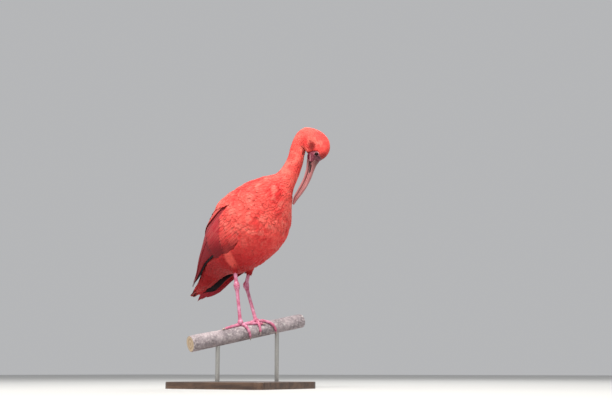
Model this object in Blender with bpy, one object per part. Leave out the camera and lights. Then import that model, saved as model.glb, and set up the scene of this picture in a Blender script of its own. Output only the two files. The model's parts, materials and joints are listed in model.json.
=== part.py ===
"""Scarlet ibis, a life-size standing model that grips a cut length of branch on a plain display stand.

Lengths are in millimetres and angles in degrees. The bird faces +X, its left is +Y, up is +Z.
Heights are measured from a point on the top of the perch, between the feet.
"""

import math
import random

import bmesh
import bpy
from mathutils import Vector

MM = 0.001
GAP = 0.35
SEED = 23

# Stand
PERCH_HEIGHT = 125.0
BASE_LENGTH, BASE_WIDTH, BASE_THICKNESS = 250.0, 200.0, 14.0
BASE_CORNER, BASE_BEVEL = 18.0, 1.5
BASE_CENTRE_X = -14.0
ROD_RADIUS, ROD_SPACING = 4.5, 140.0

# Perch
PERCH_CENTRE = Vector((2.3, 1.6, -10.7))
PERCH_HEADING, PERCH_RISE = 67.0, 0.205
PERCH_RADIUS, PERCH_TAPER = 15.2, 0.008
PERCH_LENGTH = 264.0

# Body sections from the tail to the breast: x, z, half depth, half width
BODY = (
    (-134.5, 80.8, 14.0, 20.0),
    (-105.2, 106.9, 28.0, 33.0),
    (-81.4, 139.7, 42.0, 45.0),
    (-52.1, 165.6, 66.0, 58.0),
    (-12.0, 197.9, 80.0, 68.0),
    (24.3, 226.4, 79.0, 69.0),
    (49.6, 252.8, 64.0, 60.0),
)
TORSO_REAR = 1.66
WING_RECESS = 9.0

# Neck and head lie in one upright plane, turned to the bird's left
HEAD_HEADING = 20.0
HEAD_ORIGIN_X = 85.7

# Sections of the neck: outer point, inner point (each reach, height), half width
NECK = (
    (-50.1, 302.3, 21.9, 245.4, 46.0),
    (-23.5, 307.0, 24.0, 269.6, 30.0),
    (-8.5, 311.0, 29.1, 285.4, 21.5),
    (5.4, 325.9, 37.9, 305.8, 17.5),
    (16.1, 345.9, 46.8, 332.3, 15.5),
    (22.2, 368.6, 51.3, 358.6, 14.8),
    (32.7, 390.8, 52.4, 356.3, 14.8),
    (47.4, 403.0, 53.4, 354.7, 15.2),
    (59.8, 403.9, 54.5, 353.1, 15.8),
)
HEAD = (
    (59.8, 403.9, 54.5, 353.1, 15.8),
    (82.5, 395.6, 55.1, 352.0, 16.2),
    (99.0, 379.4, 55.5, 350.6, 16.0),
    (103.6, 363.7, 55.8, 348.4, 15.4),
    (101.4, 350.6, 56.0, 345.2, 14.6),
    (93.0, 339.8, 56.2, 340.4, 12.6),
    (81.5, 332.6, 56.3, 336.6, 10.2),
)
BILL = (
    (80.6, 331.8, 56.3, 336.0, 9.6),
    (74.3, 322.6, 55.5, 327.8, 7.6),
    (69.1, 310.8, 54.1, 316.4, 6.0),
    (63.6, 296.5, 49.6, 301.4, 4.8),
    (55.5, 281.1, 42.8, 287.0, 4.2),
    (46.0, 267.1, 35.2, 273.6, 3.7),
    (36.1, 255.3, 28.0, 260.9, 3.0),
    (27.6, 243.6, 24.6, 246.2, 1.5),
)
UPPER_BILL_SHARE, MOUTH_LINE = 0.6, 0.07
EYE_REACH, EYE_HEIGHT, EYE_OUT, EYE_RADIUS = 78.9, 344.3, 10.2, 5.3
LID_RADIUS, LID_THICKNESS, LID_OUT, LID_SQUASH = 4.7, 1.3, 13.9, 0.86
LID_STEPS, LID_SIDES = 12, 5

# The nostril's ends, and its middle's shift forward and out, half width and depth
NOSTRIL = (64.9, 325.2, 63.1, 309.8)
NOSTRIL_FORWARD, NOSTRIL_OUT, NOSTRIL_HALF_WIDTH, NOSTRIL_DEPTH = 2.5, 6.9, 1.1, 2.4

# The corner of the mouth in the cheek: reach and height of its ends, distances out, half width
MOUTH_CORNER = ((55.0, 331.0), (62.0, 342.5))
MOUTH_CORNER_OUT, MOUTH_CORNER_HALF = (3.0, 14.0), 0.45

# Wing outline over the body: section number, top edge and lower edge as angles from the back
WING = (
    (0.1, 40.0, 80.0),
    (1.0, 6.0, 84.0),
    (2.0, 4.0, 106.0),
    (3.0, 12.0, 112.0),
    (4.0, 26.0, 123.0),
    (5.0, 38.0, 119.0),
    (5.7, 50.0, 113.0),
    (6.25, 74.0, 101.0),
)
WING_SHELL_LIFT = -2.4
LEFT_WING_DROOP = 30.0
TAIL_FEATHERS, TAIL_ARCH = 12, 52.0

# Legs: thigh top, thigh end, ankle, toe joint
RIGHT_LEG = (
    Vector((-16.0, -32.0, 160.0)),
    Vector((-13.0, -25.0, 118.5)),
    Vector((-8.2, -24.0, 83.1)),
    Vector((-2.7, -18.0, 10.4)),
)
LEFT_LEG = (
    Vector((-16.0, 32.0, 160.0)),
    Vector((-14.3, 25.0, 118.5)),
    Vector((-22.4, 24.0, 88.6)),
    Vector((8.7, 18.0, 15.2)),
)
THIGH_TOP_RADIUS, THIGH_END_RADIUS = 23.0, 7.5
SHIN_RADIUS, ANKLE_RADIUS, TARSUS_RADIUS = 4.0, 5.6, 3.5
HUB_RADIUS = 6.0

# Shares of a leg's length and radius: bare shin, swollen ankle, long lower leg
SHIN_STATIONS = ((0, 1), (0.35, 0.95), (0.7, 1.0))
ANKLE_STATIONS = ((-0.06, 0.92), (0, 1.0), (0.06, 0.98), (0.12, 0.8))
TARSUS_STATIONS = ((0.25, 1.02), (0.5, 1), (0.75, 1), (0.92, 1.1), (1, 1.2))

# Toes over the perch: distances along it and angles round it from its top, towards the right foot's side
RIGHT_TOES = {
    1: ((-17, 5), (-30, 10), (-43, 16), (-55, 22)),
    2: ((-12, -2), (-8, -28), (-5, -58), (-4, -88)),
    3: ((-10, 8), (4, 22), (18, 36), (31, 50)),
    4: ((-13, 14), (-10, 38), (-8, 66), (-6, 98), (-4, 130)),
}
LEFT_TOES = {
    1: ((18, 0), (8, -8), (-3, -16), (-13, -24)),
    2: ((22, 14), (21, 44), (20, 76), (19.5, 106)),
    3: ((29, 10), (39, 32), (48, 58), (54, 90), (58, 130)),
    4: ((27, -4), (36, -24), (43, -48), (47, -74)),
}
TOE_RADIUS, TOE_END_RADIUS, TOE_FLATNESS = 3.6, 2.3, 0.86

# A claw's shares of its length, its drop and its radius
CLAW_LENGTH, CLAW_RADIUS, CLAW_RISE, CLAW_DROP = 9.0, 1.9, 1.6, 6.0
CLAW_STATIONS = ((0, 0, 1), (0.35, 0.02, 0.9), (0.7, 0.12, 0.6), (1.0, 0.3, 0.2))

LOOKS = {
    "plumage": ((0.80, 0.06, 0.035), 0.6),
    "wing": ((0.62, 0.03, 0.03), 0.55),
    "skin": ((0.72, 0.25, 0.27), 0.5),
    "bill": ((0.50, 0.20, 0.20), 0.45),
    "eye": ((0.01, 0.008, 0.01), 0.08),
    "claw": ((0.62, 0.50, 0.47), 0.4),
    "bark": ((0.30, 0.26, 0.25), 0.85),
    "board": ((0.10, 0.055, 0.035), 0.4),
    "rod": ((0.45, 0.40, 0.33), 0.3),
}


def spline(rows, s):
    """The values of a smooth curve through the rows, at row number s, straight beyond both ends."""
    last = len(rows) - 1
    if s <= 0 or s >= last:
        i, j = (0, 1) if s <= 0 else (last, last - 1)
        step = s - i if s <= 0 else last - s
        return [a + step * (b - a) for a, b in zip(rows[i], rows[j])]
    i = int(s)
    t = s - i
    one, two = rows[i], rows[i + 1]
    zero = rows[i - 1] if i else [2 * a - b for a, b in zip(one, two)]
    three = rows[i + 2] if i + 2 <= last else [2 * b - a for a, b in zip(one, two)]
    return [
        b + 0.5 * t * (c - a + t * (2 * a - 5 * b + 4 * c - d + t * (3 * (b - c) + d - a)))
        for a, b, c, d in zip(zero, one, two, three)
    ]


def between(value, low, high):
    """0 at low, 1 at high, with a smooth step between them."""
    t = min(max((value - low) / (high - low), 0.0), 1.0)
    return t * t * (3 - 2 * t)


def mix(a, b, t):
    return a + (b - a) * t


def table(rows, key):
    """The other columns of sorted rows, read smoothly at a value of the first column."""
    if key <= rows[0][0]:
        return rows[0][1:]
    for i, (one, two) in enumerate(zip(rows, rows[1:])):
        if key <= two[0]:
            return spline(rows, i + (key - one[0]) / (two[0] - one[0]))[1:]
    return rows[-1][1:]


def body_point(s, angle, lift=0.0):
    """A point on the whole bird's outline: section number, angle from the back towards the left, lift."""
    x, z, depth, width = spline(BODY, s)
    ahead, behind = spline(BODY, s + 0.05), spline(BODY, s - 0.05)
    along = Vector((ahead[0] - behind[0], 0, ahead[1] - behind[1])).normalized()
    dorsal = Vector((-along.z, 0, along.x))
    turn = math.radians(angle)
    side = Vector((0, math.sin(turn) * (width + lift), 0))
    return Vector((x, 0, z)) + dorsal * math.cos(turn) * (depth + lift) + side


def wing_edges(s):
    return table(WING, s)


def recess(s, angle):
    """How far the torso lies under the outline, where a folded wing covers it."""
    top, low = wing_edges(s)
    top = min(top, 60.0)
    angle = abs(angle)
    covered = between(angle, top - 8, top + 6) * (1 - between(angle, low - 6, low + 8))
    return WING_RECESS * covered * (1 - between(s, 6.0, 6.5))


def head_point(reach, height, out=0.0):
    """A point in the upright plane of the neck and head, and its distance to the left of that plane."""
    turn = math.radians(HEAD_HEADING)
    x = HEAD_ORIGIN_X + reach * math.cos(turn) - out * math.sin(turn)
    return Vector((x, reach * math.sin(turn) + out * math.cos(turn), height))


def head_ring(row, count, fullness=1.0):
    """One oval section between an outer and an inner point."""
    outer_reach, outer_height, inner_reach, inner_height, width = row
    ring = []
    for k in range(count):
        turn = 2 * math.pi * k / count
        c, s = math.cos(turn), math.sin(turn)
        c = math.copysign(abs(c) ** fullness, c)
        s = math.copysign(abs(s) ** fullness, s)
        share = 0.5 + 0.5 * c
        reach = mix(inner_reach, outer_reach, share)
        ring.append(head_point(reach, mix(inner_height, outer_height, share), width * s))
    return ring


def oval(centre, up, side, up_half, side_half, count):
    """One oval ring, starting at its up side."""
    turns = [2 * math.pi * k / count for k in range(count)]
    return [centre + up * math.cos(t) * up_half + side * math.sin(t) * side_half for t in turns]


def loft(rings, crescent=False):
    """A closed surface through rings of as many points each, split alike all over.

    The end caps are fans round their middle, or strips across a crescent.
    """
    count = len(rings[0])
    points = [p for ring in rings for p in ring]
    faces = []
    for r in range(len(rings) - 1):
        for k in range(count):
            a, b = r * count + k, r * count + (k + 1) % count
            faces += [(a, b, b + count), (a, b + count, a + count)]
    last = (len(rings) - 1) * count
    if crescent:
        for k in range(count // 2 - 1):
            a, b, c, d = k, k + 1, count - 2 - k, count - 1 - k
            faces += [(b, a, c), (c, a, d), (last + a, last + b, last + c), (last + a, last + c, last + d)]
        return points, faces
    for ring in (rings[0], rings[-1]):
        points.append(sum(ring, Vector()) / count)
    for k in range(count):
        faces.append(((k + 1) % count, k, len(points) - 2))
        faces.append((last + k, last + (k + 1) % count, len(points) - 1))
    return points, faces


def tube(path, radii, count, flat=1.0, up=Vector((0, 0, 1))):
    """Rings of a round tube along a path, without a twist."""
    rings = []
    side = None
    for i, point in enumerate(path):
        along = (path[min(i + 1, len(path) - 1)] - path[max(i - 1, 0)]).normalized()
        if side is None:
            side = along.cross(up)
            side = side if side.length > 0.05 else along.cross(Vector((1, 0, 0)))
        side = (side - along * side.dot(along)).normalized()
        rings.append(oval(point, side.cross(along), side, radii[i] * flat, radii[i], count))
    return rings


def material(look):
    found = bpy.data.materials.get(look)
    if found:
        return found
    colour, roughness = LOOKS[look]
    made = bpy.data.materials.new(look)
    made.use_nodes = True
    shader = made.node_tree.nodes["Principled BSDF"]
    shader.inputs["Base Color"].default_value = (*colour, 1)
    shader.inputs["Roughness"].default_value = roughness
    shader.inputs["Metallic"].default_value = 0.9 if look == "rod" else 0.0
    return made


def solid(name, shape, look="plumage", smooth=True):
    """An object from points in millimetres and faces, with its faces turned outwards."""
    points, faces = shape
    mesh = bpy.data.meshes.new(name)
    mesh.from_pydata([p * MM for p in points], [], faces)
    shaped = bmesh.new()
    shaped.from_mesh(mesh)
    bmesh.ops.recalc_face_normals(shaped, faces=shaped.faces)
    shaped.to_mesh(mesh)
    shaped.free()
    if smooth:
        mesh.shade_smooth()
        mesh.set_sharp_from_angle(angle=math.radians(50))
    mesh.materials.append(material(look))
    made = bpy.data.objects.new(name, mesh)
    bpy.context.scene.collection.objects.link(made)
    return made


def keep_largest(thing):
    """Drops every closed surface of a mesh but the one that encloses most."""
    shaped = bmesh.new()
    shaped.from_mesh(thing.data)
    left = set(shaped.faces)
    bodies = []
    while left:
        body, front = set(), [left.pop()]
        while front:
            face = front.pop()
            body.add(face)
            near = {other for edge in face.edges for other in edge.link_faces} & left
            left -= near
            front += near
        volume = sum(f.calc_area() * f.normal.dot(f.calc_center_median()) for f in body)
        bodies.append((volume, body))
    largest = max(bodies, key=lambda pair: pair[0])[1]
    dropped = [face for face in shaped.faces if face not in largest]
    bmesh.ops.delete(shaped, geom=dropped, context="FACES")
    shaped.to_mesh(thing.data)
    shaped.free()


def is_closed(mesh):
    """Whether every edge joins exactly two faces."""
    shaped = bmesh.new()
    shaped.from_mesh(mesh)
    closed = len(shaped.faces) > 0 and all(edge.is_manifold for edge in shaped.edges)
    shaped.free()
    return closed


def combine(thing, others, operation):
    """One applied Boolean with a collection of closed meshes, which are then removed."""
    group = bpy.data.collections.new("pieces")
    bpy.context.scene.collection.children.link(group)
    for other in others:
        bpy.context.scene.collection.objects.unlink(other)
        group.objects.link(other)
    step = thing.modifiers.new("join", "BOOLEAN")
    step.operand_type = "COLLECTION"
    step.collection = group
    step.operation = operation
    for solver in ("EXACT", "MANIFOLD"):
        step.solver = solver
        bpy.context.view_layer.update()
        shown = thing.evaluated_get(bpy.context.evaluated_depsgraph_get())
        result = bpy.data.meshes.new_from_object(shown)
        if is_closed(result):
            break
    thing.modifiers.clear()
    thing.data = result
    for other in others:
        bpy.data.objects.remove(other)
    bpy.data.collections.remove(group)
    keep_largest(thing)


def grown(thing, gap=GAP):
    """A copy of a solid, larger all round by the gap that touching pieces keep."""
    copy = thing.copy()
    copy.data = thing.data.copy()
    bpy.context.scene.collection.objects.link(copy)
    shaped = bmesh.new()
    shaped.from_mesh(copy.data)
    shaped.normal_update()
    moves = [v.normal * min(v.calc_shell_factor(), 1.6) * gap * MM for v in shaped.verts]
    for vertex, move in zip(shaped.verts, moves):
        vertex.co += move
    shaped.to_mesh(copy.data)
    shaped.free()
    return copy


def cut_clear(thing, neighbours):
    combine(thing, [grown(neighbour) for neighbour in neighbours], "DIFFERENCE")


def ball(name, centre, radii, look, segments=10, rings=6):
    """A closed ball or egg round a centre, long in the given directions."""
    made = []
    for r in range(1, rings):
        turn = math.pi * r / rings
        spans = [2 * math.pi * k / segments for k in range(segments)]
        made.append([
            centre + radii[0] * math.sin(turn) * math.cos(t)
            + radii[1] * math.sin(turn) * math.sin(t) + radii[2] * math.cos(turn)
            for t in spans
        ])
    points, faces = loft(made)
    points[-2] = centre + radii[2]
    points[-1] = centre - radii[2]
    return solid(name, (points, faces), look)


def make_torso():
    steps = [TORSO_REAR, 1.9, 2.2, 2.6, 3.0, 3.5, 4.0, 4.5, 5.0, 5.5, 6.0]
    angles = [15 * k for k in range(24)]
    rings = []
    for s in steps:
        rings.append([body_point(s, a, -recess(s, a if a <= 180 else a - 360)) for a in angles])
    for row in (0.0, 0.5, 1.0):
        rings.append(head_ring(spline(NECK, row), 24))
    return solid("torso", loft(rings))


def make_neck():
    start = spline(NECK, 1.03)
    rows = [start] + [spline(NECK, r) for r in (1.5, 2, 3, 4, 5, 5.5, 6, 6.5, 7, 7.5)]
    rows.append(spline(NECK, 7.965))
    return solid("neck", loft([head_ring(row, 18) for row in rows]))


def eye_ball(side, gap=0.0):
    turn = math.radians(HEAD_HEADING)
    forward = Vector((math.cos(turn), math.sin(turn), 0))
    out = Vector((-math.sin(turn), math.cos(turn), 0))
    centre = head_point(EYE_REACH, EYE_HEIGHT, side * EYE_OUT)
    radius = EYE_RADIUS + gap
    return ball("eye", centre, (forward * radius, Vector((0, 0, radius)), out * radius), "eye", 12, 8)


def make_eye(side, name):
    made = eye_ball(side)
    made.name = name
    return made


def eyelid(side):
    """A ring of bare skin round the eye."""
    rings = []
    for k in range(LID_STEPS):
        turn = 2 * math.pi * k / LID_STEPS
        ring = []
        for j in range(LID_SIDES):
            swing = 2 * math.pi * j / LID_SIDES
            radius = LID_RADIUS + LID_THICKNESS * math.cos(swing)
            out = LID_OUT + LID_THICKNESS * math.sin(swing)
            reach = EYE_REACH + radius * math.cos(turn)
            height = EYE_HEIGHT + radius * math.sin(turn) * LID_SQUASH
            ring.append(head_point(reach, height, side * out))
        rings.append(ring)
    points = [p for ring in rings for p in ring]
    faces = []
    for r in range(LID_STEPS):
        for j in range(LID_SIDES):
            a, b = r * LID_SIDES + j, r * LID_SIDES + (j + 1) % LID_SIDES
            c, d = (a + LID_SIDES) % len(points), (b + LID_SIDES) % len(points)
            faces += [(a, b, d), (a, d, c)]
    return solid("lid", (points, faces), "skin")


def make_head():
    rows = [spline(HEAD, r) for r in (0.02, 0.5, 1, 1.5, 2, 2.5, 3, 3.5, 4, 4.5, 5, 6)]
    head = solid("head", loft([head_ring(row, 18, 0.94) for row in rows]))
    combine(head, [eyelid(1), eyelid(-1)], "UNION")
    openings = [eye_ball(1, GAP), eye_ball(-1, GAP), mouth_corner(1), mouth_corner(-1)]
    combine(head, openings, "DIFFERENCE")
    return head


def mouth_corner(side):
    """A thin wedge that carries the line between the mandibles back into the cheek."""
    points = []
    for out in MOUTH_CORNER_OUT:
        for reach, height in MOUTH_CORNER:
            points.append(head_point(reach - MOUTH_CORNER_HALF, height, side * out))
            points.append(head_point(reach + MOUTH_CORNER_HALF, height, side * out))
    faces = [(0, 1, 3, 2), (4, 6, 7, 5), (0, 4, 5, 1), (2, 3, 7, 6), (0, 2, 6, 4), (1, 5, 7, 3)]
    return solid("lips", (points, faces), "skin", smooth=False)


def mandible(name, near, far):
    """One half of the bill, between two shares of its depth from the ridge."""
    rings = []
    for r in (0.03, 0.5, 1, 1.5, 2, 3, 4, 5, 6, 6.95):
        outer_reach, outer_height, inner_reach, inner_height, width = spline(BILL, r)
        part = (
            mix(outer_reach, inner_reach, near), mix(outer_height, inner_height, near),
            mix(outer_reach, inner_reach, far), mix(outer_height, inner_height, far), width,
        )
        rings.append(head_ring(part, 12, 0.8))
    return solid(name, loft(rings), "bill")


def make_bill():
    upper = mandible("bill_upper", 0.0, UPPER_BILL_SHARE)
    lower = mandible("bill_lower", UPPER_BILL_SHARE + MOUTH_LINE, 1.0)
    slots = []
    for side in (1, -1):
        reach, height, end_reach, end_height = NOSTRIL
        middle_reach = (reach + end_reach) / 2 + NOSTRIL_FORWARD
        middle = head_point(middle_reach, (height + end_height) / 2, side * NOSTRIL_OUT)
        along = (head_point(reach, height) - head_point(end_reach, end_height)) / 2
        turn = math.radians(HEAD_HEADING)
        out = Vector((-math.sin(turn), math.cos(turn), 0))
        across = along.cross(out).normalized()
        radii = (along, across * NOSTRIL_HALF_WIDTH, out * NOSTRIL_DEPTH)
        slots.append(ball("slot", middle, radii, "bill", 8, 6))
    combine(upper, slots, "DIFFERENCE")
    return upper, lower


def wing_point(side, s, angle, lift):
    """A point over a folded wing. The left wing hangs a little lower towards its tip."""
    point = body_point(s, side * angle, lift)
    if side > 0:
        hang = LEFT_WING_DROOP * (1 - between(s, 1.2, 5.4)) - 6 * (1 - between(s, 0.0, 1.0))
        point.z -= hang * between(angle, 0, 88)
    return point


def wing_shell(name, side, rear):
    """The smooth wing under its feathers."""
    sections = (0.6, 1.0, 1.4, 1.8, 2.3, 2.9, 3.5, 4.1, 4.7, 5.3, 5.75, 6.1, 6.25)
    steps = [rear] + [s for s in sections if s > rear]
    count = 7
    rings = []
    for s in steps:
        top, low = wing_edges(s)
        thick = mix(1.4, WING_RECESS + 1.5, between(s, 0.2, 2.1))
        outer, inner = [], []
        for k in range(count + 1):
            u = 2 * k / count - 1
            angle = mix(top, low, k / count)
            depth = mix(1.0, thick, math.sqrt(max(1 - u * u, 0.0)) ** 0.7)
            outer.append(wing_point(side, s, angle, WING_SHELL_LIFT))
            inner.append(wing_point(side, s, angle, WING_SHELL_LIFT - depth))
        rings.append(outer + inner[::-1])
    return solid(name, loft(rings, crescent=True), "wing")


def vane(place, root, tip, width, lifts, thick, roll):
    """One feather's vane over a surface, from its root to its rounded tip, split alike on both faces."""
    rows = ((0.0, 0.7), (0.5, 1.0), (0.87, 0.74), (1.0, 0.14))
    points = []
    for face in (0, 1):
        for t, spread in rows:
            s, angle = mix(root[0], tip[0], t), mix(root[1], tip[1], t)
            lift = mix(lifts[0], lifts[1], t)
            step = 2.0
            reach = (place(s, angle + step, lift) - place(s, angle - step, lift)).length / (2 * step)
            for v in (-1, 0, 1):
                ridge = 0.35 if v == 0 else 0.0
                height = lift + roll * v + (ridge if face == 0 else -thick(t))
                points.append(place(s, angle + v * spread * width / 2 / reach, height))
    faces = []
    far = 3 * len(rows)
    last = len(rows) - 1
    for r in range(last):
        for c in (0, 1):
            a = 3 * r + c
            faces += [(a, a + 1, a + 4), (a, a + 4, a + 3)]
            faces += [(far + a + 4, far + a + 1, far + a), (far + a + 3, far + a + 4, far + a)]
        for a in (3 * r, 3 * r + 2):
            faces += [(a, a + 3, far + a + 3), (a, far + a + 3, far + a)]
    for row in (0, last):
        for c in (0, 1):
            a = 3 * row + c
            faces += [(a, far + a + 1, a + 1), (a, far + a, far + a + 1)]
    return solid("vane", (points, faces), "wing", smooth=False)


def feather_row(place, draw, count, roots, tips, width, lifts, thick, roll=0.5):
    """A tier of overlapping vanes between two end feathers, each given as (section, angle)."""
    made = []
    for k in range(count):
        t = k / (count - 1)
        bow = math.sin(math.pi * t)
        root = (mix(roots[0][0], roots[1][0], t) + roots[2] * bow, mix(roots[0][1], roots[1][1], t))
        tip = (mix(tips[0][0], tips[1][0], t) + tips[2] * bow + draw.uniform(-0.05, 0.05),
               mix(tips[0][1], tips[1][1], t) + draw.uniform(-1.0, 1.0))
        rise = draw.uniform(-0.1, 0.1)
        lift = (lifts[0] + rise, lifts[1] + rise)
        made.append(vane(place, root, tip, width * draw.uniform(0.95, 1.08), lift, thick, roll))
    return made


def wing_vanes(side):
    """Every visible tier of a folded wing, from the long feathers behind to the small ones at the wrist."""
    draw = random.Random(SEED + side)

    def place(s, angle, lift):
        return wing_point(side, s, angle, lift)

    def blade(t):
        return 1.0

    def scale(t):
        return mix(1.6, 2.6, t)

    rows = (
        # count, roots, tips, width, lifts of root and tip, thickness
        (5, ((1.75, 88), (1.75, 66), 0), ((0.62, 96), (-0.12, 62), 0), 18, (-4.4, -3.6), blade),
        (7, ((3.0, 112), (2.5, 36), 0), ((1.75, 112), (0.3, 44), -0.25), 21, (-4.0, -1.4), blade),
        (3, ((3.2, 34), (3.2, 17), 0), ((0.55, 32), (1.1, 19), 0), 20, (-3.8, -0.4), blade),
        (6, ((4.1, 119), (4.0, 42), 0.2), ((2.75, 115), (2.2, 40), -0.2), 27, (-3.6, -0.5), scale),
        (6, ((4.8, 117), (4.8, 50), 0.2), ((3.75, 117), (3.5, 44), -0.2), 26, (-3.6, -0.2), scale),
        (5, ((5.5, 110), (5.5, 62), 0.1), ((4.6, 115), (4.45, 56), -0.1), 25, (-3.6, 0.0), scale),
        (3, ((5.95, 98), (5.95, 72), 0.1), ((5.3, 108), (5.3, 68), -0.1), 25, (-3.6, 0.2), scale),
        (4, ((5.1, 46), (4.4, 28), 0), ((3.3, 38), (2.3, 17), 0), 20, (-3.4, 0.5), scale),
    )
    made = []
    for count, roots, tips, width, lifts, thick in rows:
        made += feather_row(place, draw, count, roots, tips, width, lifts, thick)
    return made


def make_wing(name, side, neighbours):
    wing = wing_shell(name, side, 0.9)
    combine(wing, wing_vanes(side), "UNION")
    cut_clear(wing, neighbours)
    return wing


def tail_section(s):
    """Upper depth, lower depth and half width of the bundle of feathers under the tail."""
    rows = (
        (-0.1, 1.6, 2.6, 12.0),
        (0.1, 2.4, 5.5, 14.5),
        (0.45, 6.0, 11.0, 17.0),
        (0.8, 12.0, 16.0, 21.0),
        (1.2, 19.5, 20.0, 26.0),
        (1.5, 26.0, 28.0, 30.0),
        (TORSO_REAR, 29.0, 37.5, 32.0),
    )
    return table(rows, s)


def tail_point(s, out, lift):
    """A point over the tail's arched upper side: section number, distance from the middle, lift."""
    x, z = spline(BODY, s)[:2]
    dorsal = (body_point(s, 0) - Vector((x, 0, z))).normalized()
    up = tail_section(s)[0]
    return Vector((x, out, z)) + dorsal * (up + lift - out * out / TAIL_ARCH)


def make_tail():
    rings = []
    for s in (-0.1, 0.2, 0.5, 0.8, 1.1, 1.4, 1.55, TORSO_REAR - 0.01):
        x, z, depth, width = spline(BODY, s)
        up, down, half = tail_section(s)
        ring = []
        for k in range(16):
            turn = 360 * k / 16
            wanted = up if math.cos(math.radians(turn)) > 0 else down
            flat = body_point(s, turn, 0.0) - Vector((x, 0, z))
            side = Vector((0, flat.y * half / width, 0))
            upright = Vector((flat.x, 0, flat.z)) * wanted / depth
            ring.append(Vector((x, 0, z)) + side + upright)
        rings.append(ring)
    tail = solid("tail", loft(rings), "plumage")
    draw = random.Random(SEED)
    vanes = []
    for side in (1, -1):
        for k in range(TAIL_FEATHERS // 2):
            out = 1.6 + 2.5 * k
            tip = (-0.5 + 0.02 * k * k + draw.uniform(-0.03, 0.03), side * out)
            lifts = (-2.2 - 0.25 * k, 0.6 - 0.75 * k)
            # the middle pair lies uppermost, and each outer feather slips under the one inside it
            root = (0.95, side * out * 0.8)
            vanes.append(vane(tail_point, root, tip, 9.5, lifts, lambda t: 0.9, side * 0.5))
    combine(tail, vanes, "UNION")
    return tail


def make_thigh(name, leg):
    top, end = leg[0], leg[1]
    path = [top.lerp(end, t) for t in (0, 0.3, 0.6, 0.85, 1)]
    sizes = [mix(THIGH_TOP_RADIUS, THIGH_END_RADIUS, t) for t in (0, 0.38, 0.72, 0.94, 1)]
    return solid(name, loft(tube(path, sizes, 16, up=Vector((0, 1, 0)))))


def make_leg(name, leg):
    end, ankle, foot = leg[1:]
    start = end - Vector((0, 0, GAP))
    path, sizes = [], []
    for t, r in SHIN_STATIONS:
        path.append(start.lerp(ankle, t))
        sizes.append(SHIN_RADIUS * r)
    for t, r in ANKLE_STATIONS:
        path.append(ankle.lerp(foot, t) if t >= 0 else ankle.lerp(end, -t * 1.6))
        sizes.append(ANKLE_RADIUS * r)
    for t, r in TARSUS_STATIONS:
        path.append(ankle.lerp(foot, t))
        sizes.append(TARSUS_RADIUS * r)
    return solid(name, loft(tube(path, sizes, 8, up=Vector((0, 1, 0)))), "skin")


def perch_axes():
    turn = math.radians(PERCH_HEADING)
    along = Vector((math.cos(turn), math.sin(turn), PERCH_RISE)).normalized()
    side = Vector((math.sin(turn), -math.cos(turn), 0))
    return along, side, side.cross(along)


def perch_radius(distance):
    return PERCH_RADIUS - PERCH_TAPER * distance


def perch_point(distance, angle, above):
    """A point near the perch: distance along it, angle from its top to its near side, height over it."""
    along, side, up = perch_axes()
    turn = math.radians(angle)
    out = up * math.cos(turn) + side * math.sin(turn)
    return PERCH_CENTRE + along * distance + out * (perch_radius(distance) + above)


def make_perch():
    draw = random.Random(SEED)
    along, side, up = perch_axes()
    rings = []
    count = 11
    for i in range(count):
        distance = PERCH_LENGTH * (i / (count - 1) - 0.5)
        near_feet = 1 - between(abs(distance - 10), 60, 85)
        ring = []
        for k in range(16):
            turn = 2 * math.pi * k / 16
            bump = draw.uniform(-0.5, 0.5) * (1 - near_feet)
            radius = perch_radius(distance) + bump
            centre = PERCH_CENTRE + along * distance
            ring.append(centre + up * math.cos(turn) * radius + side * math.sin(turn) * radius)
        rings.append(ring)
    return solid("perch", loft(rings), "bark")


def toe_paths(spots, hub):
    """The centre line of one toe from the foot's joint round the perch, and its claw's line."""
    path = [hub]
    count = 2 * (len(spots) - 1)
    for i in range(count + 1):
        distance, angle = spline(spots, i / 2)
        size = mix(TOE_RADIUS, TOE_END_RADIUS, i / count)
        path.append(perch_point(distance, angle, size * TOE_FLATNESS))
    return path


def make_foot(name, leg, toes, perch):
    hub = leg[3]
    up = perch_axes()[2]
    radii = [Vector(axis) * HUB_RADIUS for axis in ((1, 0, 0), (0, 1, 0), (0, 0, 1))]
    body = ball(name, hub - up * 1.5, radii, "skin")
    pieces, claws = [], []
    for number, spots in toes.items():
        path = toe_paths(spots, hub)
        sizes = [TOE_RADIUS * 1.1]
        for i in range(len(path) - 1):
            t = i / (len(path) - 2)
            swell = 1 + 0.08 * math.cos(math.pi * i)
            sizes.append(mix(TOE_RADIUS, TOE_END_RADIUS, t) * swell)
        pieces.append(solid("toe", loft(tube(path, sizes, 7, flat=TOE_FLATNESS)), "skin"))
        claws.append((f"claw{name[4:]}_{number}", path, spots))
    combine(body, pieces, "UNION")
    cut_clear(body, [perch])
    return body, claws


def make_claw(name, path, spots):
    """A curved claw that carries on where its toe ends."""
    end, before = path[-1], path[-2]
    forward = (end - before).normalized()
    distance, angle = spline(spots, len(spots) - 1)
    away = (end - perch_point(distance, angle, -perch_radius(distance))).normalized()
    line, sizes = [], []
    for t, drop, r in CLAW_STATIONS:
        line.append(end + forward * (GAP + CLAW_LENGTH * t) + away * (CLAW_RISE * t - CLAW_DROP * drop))
        sizes.append(CLAW_RADIUS * r)
    return solid(name, loft(tube(line, sizes, 6)), "claw")


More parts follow.
